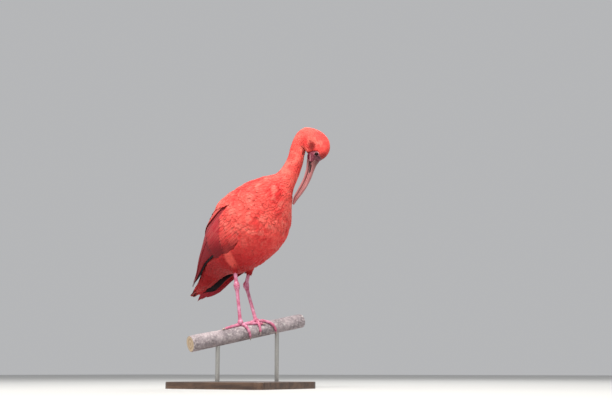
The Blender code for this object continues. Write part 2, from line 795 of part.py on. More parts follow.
def make_base():
    low = -PERCH_HEIGHT
    shaped = bmesh.new()
    bmesh.ops.create_cube(shaped, size=1)
    for vertex in shaped.verts:
        vertex.co.x = (vertex.co.x * BASE_LENGTH + BASE_CENTRE_X) * MM
        vertex.co.y = vertex.co.y * BASE_WIDTH * MM
        vertex.co.z = (low + BASE_THICKNESS * (vertex.co.z + 0.5)) * MM
    upright = [e for e in shaped.edges if abs(e.verts[0].co.z - e.verts[1].co.z) > 1e-4]
    bmesh.ops.bevel(shaped, geom=upright, offset=BASE_CORNER * MM, segments=5, affect="EDGES", profile=0.5)
    top = (low + BASE_THICKNESS) * MM
    rim = [e for e in shaped.edges if all(abs(v.co.z - top) < 1e-6 for v in e.verts)]
    bmesh.ops.bevel(shaped, geom=rim, offset=BASE_BEVEL * MM, segments=2, affect="EDGES", profile=0.5)
    mesh = bpy.data.meshes.new("stand_base")
    shaped.to_mesh(mesh)
    shaped.free()
    mesh.shade_smooth()
    mesh.set_sharp_from_angle(angle=math.radians(35))
    mesh.materials.append(material("board"))
    made = bpy.data.objects.new("stand_base", mesh)
    bpy.context.scene.collection.objects.link(made)
    return made


def make_rod(number, distance, perch):
    foot = perch_point(distance, 180, -perch_radius(distance))
    low = -PERCH_HEIGHT + BASE_THICKNESS + GAP
    path = [Vector((foot.x, foot.y, low)), Vector((foot.x, foot.y, foot.z - 4))]
    rod = solid(f"stand_rod_{number}", loft(tube(path, [ROD_RADIUS] * 2, 14)), "rod")
    cut_clear(rod, [perch])
    return rod


def clear_scene():
    for thing in list(bpy.data.objects):
        bpy.data.objects.remove(thing)


def set_on_origin():
    """Hangs every piece on one empty, placed so that the model's footprint is centred on z = 0."""
    bpy.context.view_layer.update()
    pieces = list(bpy.data.objects)
    corners = [piece.matrix_world @ Vector(c) for piece in pieces for c in piece.bound_box]
    low = [min(c[i] for c in corners) for i in range(3)]
    high = [max(c[i] for c in corners) for i in range(3)]
    root = bpy.data.objects.new("ibis", None)
    bpy.context.scene.collection.objects.link(root)
    root.location = (-(low[0] + high[0]) / 2, -(low[1] + high[1]) / 2, -low[2])
    for piece in pieces:
        piece.parent = root


def build():
    clear_scene()
    torso = make_torso()
    make_neck()
    make_head()
    make_eye(1, "eye_left")
    make_eye(-1, "eye_right")
    make_bill()
    tail = make_tail()
    perch = make_perch()
    thighs = []
    feet = []
    for name, leg, toes in (("right", RIGHT_LEG, RIGHT_TOES), ("left", LEFT_LEG, LEFT_TOES)):
        thigh = make_thigh(f"thigh_{name}", leg)
        cut_clear(thigh, [torso, tail])
        thighs.append(thigh)
        foot, claws = make_foot(f"foot_{name}", leg, toes, perch)
        if feet:
            cut_clear(foot, feet)
        feet.append(foot)
        shank = make_leg(f"leg_{name}", leg)
        cut_clear(shank, [foot, torso, thigh])
        for claw in claws:
            cut_clear(make_claw(*claw), [foot, perch] + feet[:-1])
    for name, side in (("wing_right", -1), ("wing_left", 1)):
        make_wing(name, side, [torso, tail] + thighs)
    make_base()
    for number, way in ((1, -1), (2, 1)):
        make_rod(number, way * ROD_SPACING / 2, perch)
    set_on_origin()


build()
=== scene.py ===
"""Looks of the scarlet ibis model: skin, feathers, bill, eyes, legs, perch and stand.

Lengths are in millimetres in the bird's own frame: it faces +X, its left is +Y, and heights are
measured from the top of the perch between its feet. Each finished mesh is in metres, in the CAD frame.
"""

import itertools
import json
import math

import bmesh
import bpy
import numpy as np
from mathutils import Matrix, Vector, noise

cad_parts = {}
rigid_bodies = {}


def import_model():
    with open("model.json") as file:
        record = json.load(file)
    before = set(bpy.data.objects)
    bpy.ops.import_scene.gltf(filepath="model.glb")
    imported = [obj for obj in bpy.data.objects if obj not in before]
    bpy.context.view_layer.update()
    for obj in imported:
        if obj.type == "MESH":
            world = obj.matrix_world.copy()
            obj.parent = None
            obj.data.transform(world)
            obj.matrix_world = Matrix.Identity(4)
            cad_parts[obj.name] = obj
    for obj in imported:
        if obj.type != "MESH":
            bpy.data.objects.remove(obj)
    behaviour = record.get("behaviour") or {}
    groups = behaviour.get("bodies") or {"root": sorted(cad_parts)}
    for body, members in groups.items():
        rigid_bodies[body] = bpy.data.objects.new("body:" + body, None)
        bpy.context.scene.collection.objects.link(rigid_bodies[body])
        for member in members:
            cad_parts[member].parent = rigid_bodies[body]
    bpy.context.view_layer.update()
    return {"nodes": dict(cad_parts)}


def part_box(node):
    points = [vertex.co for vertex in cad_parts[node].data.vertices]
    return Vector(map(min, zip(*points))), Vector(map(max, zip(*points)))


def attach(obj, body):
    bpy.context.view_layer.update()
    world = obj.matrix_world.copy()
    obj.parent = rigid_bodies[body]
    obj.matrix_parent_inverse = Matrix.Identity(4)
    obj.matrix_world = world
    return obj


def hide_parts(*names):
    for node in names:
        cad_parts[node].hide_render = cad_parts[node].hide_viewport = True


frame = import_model()

MM = 0.001
SEED = 7

# Sizes repeated from the part's source
PERCH_HEIGHT = 125.0
BASE_CENTRE_X = -14.0
PERCH_CENTRE = Vector((2.3, 1.6, -10.7))
PERCH_HEADING, PERCH_RISE = 67.0, 0.205
PERCH_RADIUS, PERCH_TAPER = 15.2, 0.008
PERCH_LENGTH = 264.0
BODY = (
    # x, z, depth and half width of each section
    (-134.5, 80.8, 14.0, 20.0),
    (-105.2, 106.9, 28.0, 33.0),
    (-81.4, 139.7, 42.0, 45.0),
    (-52.1, 165.6, 66.0, 58.0),
    (-12.0, 197.9, 80.0, 68.0),
    (24.3, 226.4, 79.0, 69.0),
    (49.6, 252.8, 64.0, 60.0),
)
TORSO_REAR = 1.66
WING_RECESS = 9.0
HEAD_HEADING = 20.0
HEAD_ORIGIN_X = 85.7
NECK = (
    # reach and height of the outer point, then of the inner point, and half width
    (-50.1, 302.3, 21.9, 245.4, 46.0),
    (-23.5, 307.0, 24.0, 269.6, 30.0),
    (-8.5, 311.0, 29.1, 285.4, 21.5),
    (5.4, 325.9, 37.9, 305.8, 17.5),
    (16.1, 345.9, 46.8, 332.3, 15.5),
    (22.2, 368.6, 51.3, 358.6, 14.8),
    (32.7, 390.8, 52.4, 356.3, 14.8),
    (47.4, 403.0, 53.4, 354.7, 15.2),
    (59.8, 403.9, 54.5, 353.1, 15.8),
)
HEAD = (
    (59.8, 403.9, 54.5, 353.1, 15.8),
    (82.5, 395.6, 55.1, 352.0, 16.2),
    (99.0, 379.4, 55.5, 350.6, 16.0),
    (103.6, 363.7, 55.8, 348.4, 15.4),
    (101.4, 350.6, 56.0, 345.2, 14.6),
    (93.0, 339.8, 56.2, 340.4, 12.6),
    (81.5, 332.6, 56.3, 336.6, 10.2),
)
BILL = (
    (80.6, 331.8, 56.3, 336.0, 9.6),
    (74.3, 322.6, 55.5, 327.8, 7.6),
    (69.1, 310.8, 54.1, 316.4, 6.0),
    (63.6, 296.5, 49.6, 301.4, 4.8),
    (55.5, 281.1, 42.8, 287.0, 4.2),
    (46.0, 267.1, 35.2, 273.6, 3.7),
    (36.1, 255.3, 28.0, 260.9, 3.0),
    (27.6, 243.6, 24.6, 246.2, 1.5),
)
UPPER_BILL_SHARE, MOUTH_LINE = 0.6, 0.07
EYE_REACH, EYE_HEIGHT, EYE_OUT, EYE_RADIUS = 78.9, 344.3, 10.2, 5.3
LID_RADIUS, LID_THICKNESS, LID_OUT = 4.7, 1.3, 13.9
WING = (
    # section, upper and lower angle of a folded wing
    (0.1, 40.0, 80.0),
    (1.0, 6.0, 84.0),
    (2.0, 4.0, 106.0),
    (3.0, 12.0, 112.0),
    (4.0, 26.0, 123.0),
    (5.0, 38.0, 119.0),
    (5.7, 50.0, 113.0),
    (6.25, 74.0, 101.0),
)
WING_OPEN = (
    # the same for the part of it that the body feathers leave open
    (1.0, 9.0, 94.0), (2.0, 7.0, 116.0), (3.0, 15.0, 122.0), (4.0, 34.0, 130.0),
    (4.6, 46.0, 121.0), (5.0, 56.0, 110.0), (5.3, 68.0, 99.0), (5.5, 84.0, 88.0),
)
WING_SHELL_LIFT = -2.4
LEFT_WING_DROOP = 30.0
TAIL_ARCH = 52.0
RIGHT_LEG, LEFT_LEG = (
    # hip, end of the thigh, ankle and foot
    [Vector(spot) for spot in spots] for spots in (
        ((-16, -32, 160), (-13.0, -25, 118.5), (-8.2, -24, 83.1), (-2.7, -18, 10.4)),
        ((-16, 32, 160), (-14.3, 25, 118.5), (-22.4, 24, 88.6), (8.7, 18, 15.2)),
    )
)
THIGH_TOP_RADIUS, THIGH_END_RADIUS = 23.0, 7.5
SHIN_RADIUS, ANKLE_RADIUS, TARSUS_RADIUS = 4.0, 5.6, 3.5
HUB_RADIUS = 6.0
RIGHT_TOES = {
    # for each toe its joints, as distance along the perch and angle from its top
    1: ((-17, 5), (-30, 10), (-43, 16), (-55, 22)),
    2: ((-12, -2), (-8, -28), (-5, -58), (-4, -88)),
    3: ((-10, 8), (4, 22), (18, 36), (31, 50)),
    4: ((-13, 14), (-10, 38), (-8, 66), (-6, 98), (-4, 130)),
}
LEFT_TOES = {
    1: ((18, 0), (8, -8), (-3, -16), (-13, -24)),
    2: ((22, 14), (21, 44), (20, 76), (19.5, 106)),
    3: ((29, 10), (39, 32), (48, 58), (54, 90), (58, 130)),
    4: ((27, -4), (36, -24), (43, -48), (47, -74)),
}
TOE_RADIUS, TOE_END_RADIUS = 3.6, 2.3
CLAW_LENGTH, CLAW_RADIUS = 9.0, 1.9

# Sizes of the dressing alone
SKIN_DEPTH = 3.2
PATCH = 0.0015
FEATHER_DISORDER = 0.16
TRIES = 14

base_low, base_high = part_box("stand_base")
SHIFT = Vector((
    (base_low.x + base_high.x) / 2 - BASE_CENTRE_X * MM,
    (base_low.y + base_high.y) / 2,
    base_low.z + PERCH_HEIGHT * MM,
))


# Curves and sections, as in the part's source

def spline(rows, s):
    """The values of a smooth curve through the rows, at row number s, straight beyond both ends."""
    last = len(rows) - 1
    if s <= 0 or s >= last:
        i, j = (0, 1) if s <= 0 else (last, last - 1)
        step = s - i if s <= 0 else last - s
        return [a + step * (b - a) for a, b in zip(rows[i], rows[j])]
    i = int(s)
    t = s - i
    one, two = rows[i], rows[i + 1]
    zero = rows[i - 1] if i else [2 * a - b for a, b in zip(one, two)]
    three = rows[i + 2] if i + 2 <= last else [2 * b - a for a, b in zip(one, two)]
    return [
        b + 0.5 * t * (c - a + t * (2 * a - 5 * b + 4 * c - d + t * (3 * (b - c) + d - a)))
        for a, b, c, d in zip(zero, one, two, three)
    ]


def between(value, low, high):
    """0 at low, 1 at high, with a smooth step between them."""
    t = min(max((value - low) / (high - low), 0.0), 1.0)
    return t * t * (3 - 2 * t)


def between_all(values, low, high):
    """The same for an array of values."""
    t = np.clip((values - low) / (high - low), 0, 1)
    return t * t * (3 - 2 * t)


def mix(a, b, t):
    return a + (b - a) * t


def table(rows, key):
    """The other columns of sorted rows, read smoothly at a value of the first column."""
    if key <= rows[0][0]:
        return rows[0][1:]
    for i, (one, two) in enumerate(zip(rows, rows[1:])):
        if key <= two[0]:
            return spline(rows, i + (key - one[0]) / (two[0] - one[0]))[1:]
    return rows[-1][1:]


def body_point(s, angle, lift=0.0):
    """A point on the bird's outline: section number, angle from the back to the left, lift."""
    x, z, depth, width = spline(BODY, s)
    ahead, behind = spline(BODY, s + 0.05), spline(BODY, s - 0.05)
    along = Vector((ahead[0] - behind[0], 0, ahead[1] - behind[1])).normalized()
    dorsal = Vector((-along.z, 0, along.x))
    turn = math.radians(angle)
    side = Vector((0, math.sin(turn) * (width + lift), 0))
    return Vector((x, 0, z)) + dorsal * math.cos(turn) * (depth + lift) + side


def wing_edges(s):
    return table(WING, s)


def recess(s, angle):
    """How far the body lies under the outline, where a folded wing covers it."""
    top, low = wing_edges(s)
    top = min(top, 60.0)
    angle = abs(angle)
    covered = between(angle, top - 8, top + 6) * (1 - between(angle, low - 6, low + 8))
    return WING_RECESS * covered * (1 - between(s, 6.0, 6.5))


def head_axes():
    turn = math.radians(HEAD_HEADING)
    return Vector((math.cos(turn), math.sin(turn), 0)), Vector((-math.sin(turn), math.cos(turn), 0))


def head_point(reach, height, out=0.0):
    """A point in the upright plane of the neck and head, and its distance to the left of that plane."""
    forward, left = head_axes()
    return Vector((HEAD_ORIGIN_X, 0, height)) + forward * reach + left * out


def in_head(point):
    """A point's reach in the head's plane and its distance to the left of it."""
    forward, left = head_axes()
    point = point - Vector((HEAD_ORIGIN_X, 0, 0))
    return point.dot(forward), point.dot(left)


def in_head_all(x, y, unit=1.0):
    """The same for arrays or sockets, with the length of a millimetre in them."""
    forward, left = head_axes()
    x = x - HEAD_ORIGIN_X * unit
    return x * forward.x + y * forward.y, x * left.x + y * left.y


def oval_point(row, angle, fullness=1.0):
    """A point of the oval section between an outer and an inner point."""
    outer_reach, outer_height, inner_reach, inner_height, width = row
    turn = math.radians(angle)
    c, s = math.cos(turn), math.sin(turn)
    c = math.copysign(abs(c) ** fullness, c)
    s = math.copysign(abs(s) ** fullness, s)
    share = 0.5 + 0.5 * c
    reach = mix(inner_reach, outer_reach, share)
    return head_point(reach, mix(inner_height, outer_height, share), width * s)


def wing_point(side, s, angle, lift):
    """A point over a folded wing. The left wing hangs a little lower towards its tip."""
    point = body_point(s, side * angle, lift)
    if side > 0:
        hang = LEFT_WING_DROOP * (1 - between(s, 1.2, 5.4)) - 6 * (1 - between(s, 0.0, 1.0))
        point.z -= hang * between(angle, 0, 88)
    return point


def tail_section(s):
    """Upper depth, lower depth and half width of the bundle of feathers under the tail."""
    rows = (
        (-0.1, 1.6, 2.6, 12.0),
        (0.1, 2.4, 5.5, 14.5),
        (0.45, 6.0, 11.0, 17.0),
        (0.8, 12.0, 16.0, 21.0),
        (1.2, 19.5, 20.0, 26.0),
        (1.5, 26.0, 28.0, 30.0),
        (TORSO_REAR, 29.0, 37.5, 32.0),
    )
    return table(rows, s)


def tail_core_point(s, angle):
    x, z, depth, width = spline(BODY, s)
    up, down, half = tail_section(s)
    wanted = up if math.cos(math.radians(angle)) > 0 else down
    flat = body_point(s, angle) - Vector((x, 0, z))
    side = Vector((0, flat.y * half / width, 0))
    return Vector((x, 0, z)) + side + Vector((flat.x, 0, flat.z)) * wanted / depth


def tail_point(s, out, lift):
    """A point over the tail's arched upper side: section number, distance from the middle, lift."""
    x, z = spline(BODY, s)[:2]
    dorsal = (body_point(s, 0) - Vector((x, 0, z))).normalized()
    up = tail_section(s)[0]
    return Vector((x, out, z)) + dorsal * (up + lift - out * out / TAIL_ARCH)


def perch_axes():
    turn = math.radians(PERCH_HEADING)
    along = Vector((math.cos(turn), math.sin(turn), PERCH_RISE)).normalized()
    side = Vector((math.sin(turn), -math.cos(turn), 0))
    return along, side, side.cross(along)


def perch_radius(distance):
    return PERCH_RADIUS - PERCH_TAPER * distance


def perch_point(distance, angle, above):
    """A point near the perch: distance along it, angle from its top to its near side, height over it."""
    along, side, up = perch_axes()
    turn = math.radians(angle)
    out = up * math.cos(turn) + side * math.sin(turn)
    return PERCH_CENTRE + along * distance + out * (perch_radius(distance) + above)


# Meshes

def new_object(name, mesh, finish=None):
    made = bpy.data.objects.new(name, mesh)
    bpy.context.scene.collection.objects.link(made)
    if finish:
        mesh.materials.append(finish)
    return made


def mesh_of(name, points, faces):
    """A smooth mesh from points in millimetres of the bird's frame, with its faces turned outwards."""
    mesh = bpy.data.meshes.new(name)
    mesh.from_pydata([tuple(Vector(p) * MM + SHIFT) for p in points], [], faces)
    shaped = bmesh.new()
    shaped.from_mesh(mesh)
    bmesh.ops.recalc_face_normals(shaped, faces=shaped.faces)
    shaped.to_mesh(mesh)
    shaped.free()
    mesh.shade_smooth()
    return mesh


def turns(count):
    return [2 * math.pi * k / count for k in range(count)]


def ring_faces(rings, count, first=0, capped=True):
    """Quads between rings of as many points each, and a fan's worth of triangles at both ends."""
    faces = []
    for r in range(rings - 1):
        for k in range(count):
            a, b = first + r * count + k, first + r * count + (k + 1) % count
            faces.append((a, b, b + count, a + count))
    if capped:
        faces.append(tuple(first + k for k in range(count))[::-1])
        faces.append(tuple(first + (rings - 1) * count + k for k in range(count)))
    return faces


def loft(name, rings):
    return mesh_of(name, [p for ring in rings for p in ring], ring_faces(len(rings), len(rings[0])))


def mark(mesh, name, values, wide=True):
    """Keeps values on a mesh's points, three for each point or one."""
    attribute = mesh.attributes.new(name, "FLOAT_VECTOR" if wide else "FLOAT", "POINT")
    attribute.data.foreach_set("vector" if wide else "value", values)


def tube(path, radii, count, up=Vector((0, 0, 1))):
    """Rings of a round tube along a path, without a twist. Each radius may be a function of the turn."""
    rings = []
    side = None
    for i, point in enumerate(path):
        along = (path[min(i + 1, len(path) - 1)] - path[max(i - 1, 0)]).normalized()
        if side is None:
            side = along.cross(up)
            side = side if side.length > 0.05 else along.cross(Vector((1, 0, 0)))
        side = (side - along * side.dot(along)).normalized()
        top = side.cross(along)
        ring = []
        for turn in turns(count):
            size = radii[i](turn) if callable(radii[i]) else radii[i]
            ring.append(point + top * math.cos(turn) * size + side * math.sin(turn) * size)
        rings.append(ring)
    return rings


def joined(name, shapes):
    """One mesh of several closed shapes, each given as points and faces."""
    points, faces = [], []
    for some_points, some_faces in shapes:
        faces += [tuple(i + len(points) for i in face) for face in some_faces]
        points += some_points
    return mesh_of(name, points, faces)


def ball_shape(centre, axes, segments=24, rings=16):
    """A closed ball round a centre, long in the given directions, with its poles on the third one."""
    points = [centre + axes[2]]
    for r in range(1, rings):
        turn = math.pi * r / rings
        for t in turns(segments):
            flat = axes[0] * math.cos(t) + axes[1] * math.sin(t)
            points.append(centre + flat * math.sin(turn) + axes[2] * math.cos(turn))
    points.append(centre - axes[2])
    last = len(points) - 1
    faces = ring_faces(rings - 1, segments, 1, capped=False)
    for k in range(segments):
        a, b = 1 + k, 1 + (k + 1) % segments
        faces.append((0, b, a))
        low = 1 + (rings - 2) * segments
        faces.append((last, low + k, low + (k + 1) % segments))
    return points, faces


def sampled(rows, count):
    """Evenly numbered rows of a smooth curve through a few given ones."""
    return [spline(rows, (len(rows) - 1) * i / (count - 1)) for i in range(count)]


def smooth_path(points, count):
    return [Vector(row) for row in sampled([tuple(p) for p in points], count)]


def thigh_line(leg, count):
    """The middle line of a thigh from the hip down, and its radius at each point."""
    path = smooth_path((leg[0], leg[0].lerp(leg[1], 0.5), leg[1]), count)
    return path, [mix(THIGH_TOP_RADIUS, THIGH_END_RADIUS, i / (count - 1)) for i in range(count)]


def settle(thing):
    """Makes what an object's modifiers show its own plain mesh."""
    thing.update_tag()
    bpy.context.view_layer.update()
    result = bpy.data.meshes.new_from_object(thing.evaluated_get(bpy.context.evaluated_depsgraph_get()))
    thing.modifiers.clear()
    thing.data = result


def fuse(thing, others):
    """Joins closed meshes in one by a Boolean union."""
    group = bpy.data.collections.new("pieces")
    bpy.context.scene.collection.children.link(group)
    for other in others:
        bpy.context.scene.collection.objects.unlink(other)
        group.objects.link(other)
    step = thing.modifiers.new("fuse", "BOOLEAN")
    step.operand_type = "COLLECTION"
    step.collection = group
    step.operation = "UNION"
    settle(thing)
    for other in others:
        bpy.data.objects.remove(other)
    bpy.data.collections.remove(group)
    thing.data.shade_smooth()


# Node trees

def operator(operation, reflected=False):
    def apply(wire, other):
        return wire.tree.maths(operation, (other, wire) if reflected else (wire, other))
    return apply


class Wire:
    """An output socket. Python's operators on it add Math nodes, or Vector Math nodes."""

    __add__ = __radd__ = operator("ADD")
    __sub__, __rsub__ = operator("SUBTRACT"), operator("SUBTRACT", True)
    __mul__ = __rmul__ = operator("MULTIPLY")
    __truediv__, __rtruediv__ = operator("DIVIDE"), operator("DIVIDE", True)

    def __init__(self, tree, socket):
        self.tree = tree
        self.socket = socket
        self.vector = socket.type in ("VECTOR", "RGBA")

    def join(self, operation, *others, out=0):
        return self.tree.maths(operation, (self, *others), out)

    def part(self, axis):
        """One of the three numbers of a vector."""
        return self.tree.add("ShaderNodeSeparateXYZ", {0: self}, out="XYZ"[axis])

    def parts(self):
        return [self.part(axis) for axis in range(3)]

    def step(self, low, high, first=0.0, last=1.0):
        """A smooth step of this value, from first at low to last at high."""
        sockets = {"Value": self, "From Min": low, "From Max": high, "To Min": first, "To Max": last}
        return self.tree.add("ShaderNodeMapRange", sockets, interpolation_type="SMOOTHSTEP")


class Tree:
    """A node tree that nodes are added to, each by its type, settings and sockets."""

    def __init__(self, nodes):
        self.nodes = nodes.nodes
        self.links = nodes.links

    def add(self, kind, sockets=(), out=0, whole=False, **settings):
        node = self.nodes.new(kind)
        for name, value in settings.items():
            setattr(node, name, value)
        self.fill(node, dict(sockets))
        return node if whole else Wire(self, node.outputs[out])

    def fill(self, node, sockets):
        """Links or sets sockets of a node."""
        for name, value in sockets.items():
            socket = node.inputs[name]
            if isinstance(value, Wire):
                self.links.new(value.socket, socket)
            elif isinstance(value, tuple) and socket.type == "RGBA":
                socket.default_value = (*value, 1)
            else:
                socket.default_value = value

    def maths(self, operation, values, out=0):
        """A Math node, or a Vector Math node where one of the values is a vector."""
        kind = "ShaderNodeMath"
        if any(isinstance(v, tuple) or isinstance(v, Wire) and v.vector for v in values):
            kind = "ShaderNodeVectorMath"
            values = [v if isinstance(v, (Wire, tuple)) else (v, v, v) for v in values]
        return self.add(kind, dict(enumerate(values)), out, operation=operation)

    def vector(self, x, y, z=0.0):
        return self.add("ShaderNodeCombineXYZ", {0: x, 1: y, 2: z})

    def blend(self, share, first, second):
        """A colour between two others."""
        sockets = {"Factor": share, 6: first, 7: second}
        return self.add("ShaderNodeMix", sockets, out=2, data_type="RGBA")

    def layers(self, colour, *coats):
        """A colour under further ones, each given with its share."""
        for share, coat in coats:
            colour = self.blend(share, colour, coat)
        return colour


class Paint(Tree):
    """The nodes of one material."""

    def __init__(self, name):
        self.material = bpy.data.materials.new(name)
        self.material.use_nodes = True
        super().__init__(self.material.node_tree)
        self.shader = self.nodes["Principled BSDF"]
        self.place = self.add("ShaderNodeTexCoord", out="Object") - tuple(SHIFT)

    def noise(self, size, detail=3.0, rough=0.5, place=None):
        """Smooth noise whose lumps are about a size in millimetres."""
        place = place or self.place
        sockets = {"Vector": place, "Scale": 1000.0 / size, "Detail": detail, "Roughness": rough}
        return self.add("ShaderNodeTexNoise", sockets)

    def attribute(self, name, out="Vector"):
        return self.add("ShaderNodeAttribute", out=out, attribute_name=name)

    def bump(self, height, distance):
        sockets = {"Height": height, "Distance": distance * MM, "Strength": 1.0}
        return self.add("ShaderNodeBump", sockets)

    def distance(self, across, height, spot):
        """How far a place is from a spot, which is given by its middle and by its scale both ways."""
        way = self.vector((across - spot[0]) * spot[2], (height - spot[1]) * spot[3])
        return way.join("LENGTH", out="Value")

    def finish(self, **sockets):
        """Sets the shader's sockets and gives the material."""
        titles = {name: name.replace("_", " ").title().replace("Ior", "IOR") for name in sockets}
        self.fill(self.shader, {titles[name]: value for name, value in sockets.items()})
        return self.material


# Finishes

CORAL, SCARLET = (0.94, 0.125, 0.100), (0.80, 0.034, 0.036)
CRIMSON, DEEP = (0.46, 0.012, 0.018), (0.16, 0.004, 0.008)
PEACH, BROWN = (0.98, 0.27, 0.21), (0.20, 0.007, 0.007)
INK = (0.003, 0.002, 0.003)
# Places of the coat that are paler or darker, the cheek's by painted shade: x or reach, height, and the
# scale of each
THIGH_GLOW = (-0.011, 0.138, 80, 45)
CHEEK_SHADE = (0.069, 0.361, 84, 68)
BROW = (0.091, 0.336, 90, 75)


def feather_colour(paint):
    """The coat's colour from place to place, for skin and feathers, and the colour of pale tips. Painted
    shade darkens the belly, the underside of the tail and the cheek; painted highlight pales the upper
    front.
    """
    x, y, z = paint.place.parts()
    reach, out = in_head_all(x, y, MM)
    # share of the upper front, lit from above: its coral and peach patches and paler tips are partly the
    # coat's own mottling and partly painted highlight
    front = (x * 0.25 + z).step(0.12, 0.22)
    # painted shade in the cheek's hollow where the jaw meets the neck, stronger on the right side
    hollow = paint.distance(reach, z, CHEEK_SHADE).step(0.2, 1.15, 0.92, 0.0)
    hollow = hollow * out.step(-0.004, 0.006, 1.0, 0.4)
    colour = paint.layers(
        # under the tail a darker brown-red, partly the coat's own colour and partly painted shade
        BROWN,
        ((x * 0.6 + z).step(0.08, 0.19), SCARLET),
        (paint.noise(46, 2.0).step(0.30, 0.62) * front * 0.85, CORAL),
        (paint.noise(17, 2.0).step(0.50, 0.66) * front * 0.45, PEACH),
        # painted shade darkening the lower belly, and the tail's end
        (z.step(0.13, 0.20, 0.55, 0.0), CRIMSON),
        (x.step(-0.112, -0.140, 0.0, 0.8), (0.60, 0.045, 0.050)),
        (paint.distance(x, z, THIGH_GLOW).step(0.5, 1.1, 0.8, 0.0), CORAL),
        (hollow, (0.13, 0.006, 0.005)),
        (paint.distance(reach, z, BROW).step(0.4, 1.2, 0.75, 0.0), (0.26, 0.010, 0.014)),
    )
    return colour, paint.blend(front * (1 - hollow), (0.36, 0.028, 0.026), PEACH)


def feather_place(paint):
    """How far from its feather's shaft and along it a place lies, and a number for each feather."""
    across, along = paint.attribute("shape").parts()[:2]
    return across.join("ABSOLUTE"), along, paint.attribute("root").part(2)


def plumage_finish():
    """Soft body feathers: each its own tint, paler at the tip, with fine barbs beside its shaft."""
    paint = Paint("plumage")
    side, along, chance = feather_place(paint)
    colour, pale = feather_colour(paint)
    dark = colour * 0.45
    barbs = (side * 2.2 + along * 5.0) * 26.0 + paint.noise(6, 1.0) * 2.0
    ripple = barbs.join("SINE") * 0.5 + 0.5
    tip = along.step(0.7, 1.0) * (1 - side * 0.6)
    colour = paint.layers(
        colour,
        (along.step(0.3, 0.75, 0.5, 0.0), dark),
        (tip * chance.step(0.3, 1.0, 0.04, 0.28), pale),
        (chance.step(0.5, 0.0, 0.0, 0.2), dark),
        (ripple * side.step(0.0, 1.0, 0.03, 0.2), dark),
    )
    normal = paint.bump(ripple + side.step(0.0, 0.07, 1.0, 0.0), 0.03)
    paint.finish(sheen_weight=0.14, sheen_roughness=0.5, sheen_tint=(1.0, 0.36, 0.3))
    paint.finish(specular_ior_level=0.14)
    return paint.finish(base_color=colour, roughness=chance * 0.1 + 0.55, normal=normal)


def wing_finish():
    """Long smooth feathers with a shaft line and slanting barbs, black where their ink says so."""
    paint = Paint("wing_plumage")
    side, along, chance = feather_place(paint)
    slant = side * 0.35 + along * 1.0
    streak = paint.noise(1000, 3.0, place=paint.vector(slant * 60.0 + chance * 40.0, chance * 9.0, 0.0))
    colour, pale = feather_colour(paint)
    x, y, z = paint.place.parts()
    # painted light and shade on the long feathers' crimson: darker low on the wing, lighter on the far
    # wing
    high_or_far = z.step(0.11, 0.26) + y.step(-0.01, 0.02)
    shaded_long_colour = paint.blend(high_or_far, (0.17, 0.004, 0.009), (0.42, 0.028, 0.050))
    lobe_shade = x.step(-0.07, -0.04) * z.step(0.150, 0.182, 0.72, 0.0)
    shaft = side.step(0.02, 0.06, 1.0, 0.0)
    colour = paint.layers(
        colour,
        (paint.attribute("long", "Fac") * 0.9, shaded_long_colour),
        (chance.step(0.2, 1.0, 0.0, 0.22), pale),
        (streak.step(0.55, 0.74, 0.0, 0.42), pale),
        (streak.step(0.48, 0.3, 0.0, 0.5), DEEP),
        (along.step(0.0, 0.6, 0.5, 0.0), DEEP),
        (lobe_shade, (0.14, 0.003, 0.007)),
        (side.step(0.55, 1.0, 0.0, 0.35), CRIMSON),
        (shaft * 0.6, DEEP),
        (paint.attribute("ink", "Fac"), paint.blend(streak, INK, (0.016, 0.010, 0.014))),
    )
    ripple = (slant * 420.0).join("SINE") * 0.5 + 0.5
    normal = paint.bump(ripple * 0.6 + streak + shaft * 2.0, 0.06)
    paint.finish(specular_ior_level=0.18)
    return paint.finish(base_color=colour, roughness=streak * 0.15 + 0.4, normal=normal)


def skin_finish():
    """The skin under the coat, and the bare wrinkled face with its pale gape and dark mouth corner."""
    paint = Paint("skin")
    coat = feather_colour(paint)[0] * 0.6
    bare, pale, dark = paint.attribute("face").parts()
    mottle = paint.noise(2.6, 4.0)
    flesh = paint.layers(
        (0.09, 0.005, 0.020),
        (mottle.step(0.38, 0.66), (0.25, 0.028, 0.055)),
        (paint.noise(7.0, 2.0).step(0.5, 0.64, 0.0, 0.5), (0.40, 0.085, 0.12)),
        (dark, (0.065, 0.003, 0.018)),
        (pale * 0.9, (0.62, 0.27, 0.31)),
    )
    colour = paint.blend(bare, coat, flesh)
    wrinkles = paint.noise(1.5, 3.0) + paint.noise(4.0, 2.0)
    normal = paint.bump(wrinkles, 0.55)
    return paint.finish(base_color=colour, roughness=mottle * 0.3 + 0.3, normal=normal)


def bill_finish():
    """Dusky horn, darker at its base and tip, with a dark groove."""
    paint = Paint("bill_horn")
    down, around, groove = paint.attribute("bill").parts()
    grain = paint.noise(1000, 4.0, place=paint.vector(down * 6.0, around * 30.0, 0.0))
    colour = paint.layers(
        (0.30, 0.075, 0.085),
        (grain.step(0.3, 0.7), (0.62, 0.25, 0.24)),
        (down.step(0.0, 0.36, 0.85, 0.0), (0.105, 0.028, 0.026)),
        (down.step(0.5, 1.0, 0.0, 0.5), (0.22, 0.055, 0.06)),
        (groove, (0.010, 0.005, 0.006)),
    )
    normal = paint.bump(grain, 0.15)
    return paint.finish(base_color=colour, roughness=grain * 0.25 + 0.28, normal=normal)


def eye_finish():
    """A wet eye: black pupil, very dark iris and rim, by the angle from its front."""
    paint = Paint("eye")
    away = paint.attribute("iris", "Fac")
    fibres = paint.noise(0.6, 3.0)
    colour = paint.layers(
        (0.010, 0.004, 0.003),
        (fibres, (0.035, 0.012, 0.008)),
        (away.step(0.30, 0.34, 1.0, 0.0), (0.001, 0.001, 0.001)),
        (away.step(0.62, 0.72), (0.004, 0.003, 0.004)),
    )
    paint.finish(base_color=colour, roughness=fibres * 0.02 + 0.12, specular_ior_level=0.06)
    return paint.finish(coat_weight=0.4, coat_roughness=0.02, coat_ior=1.3)


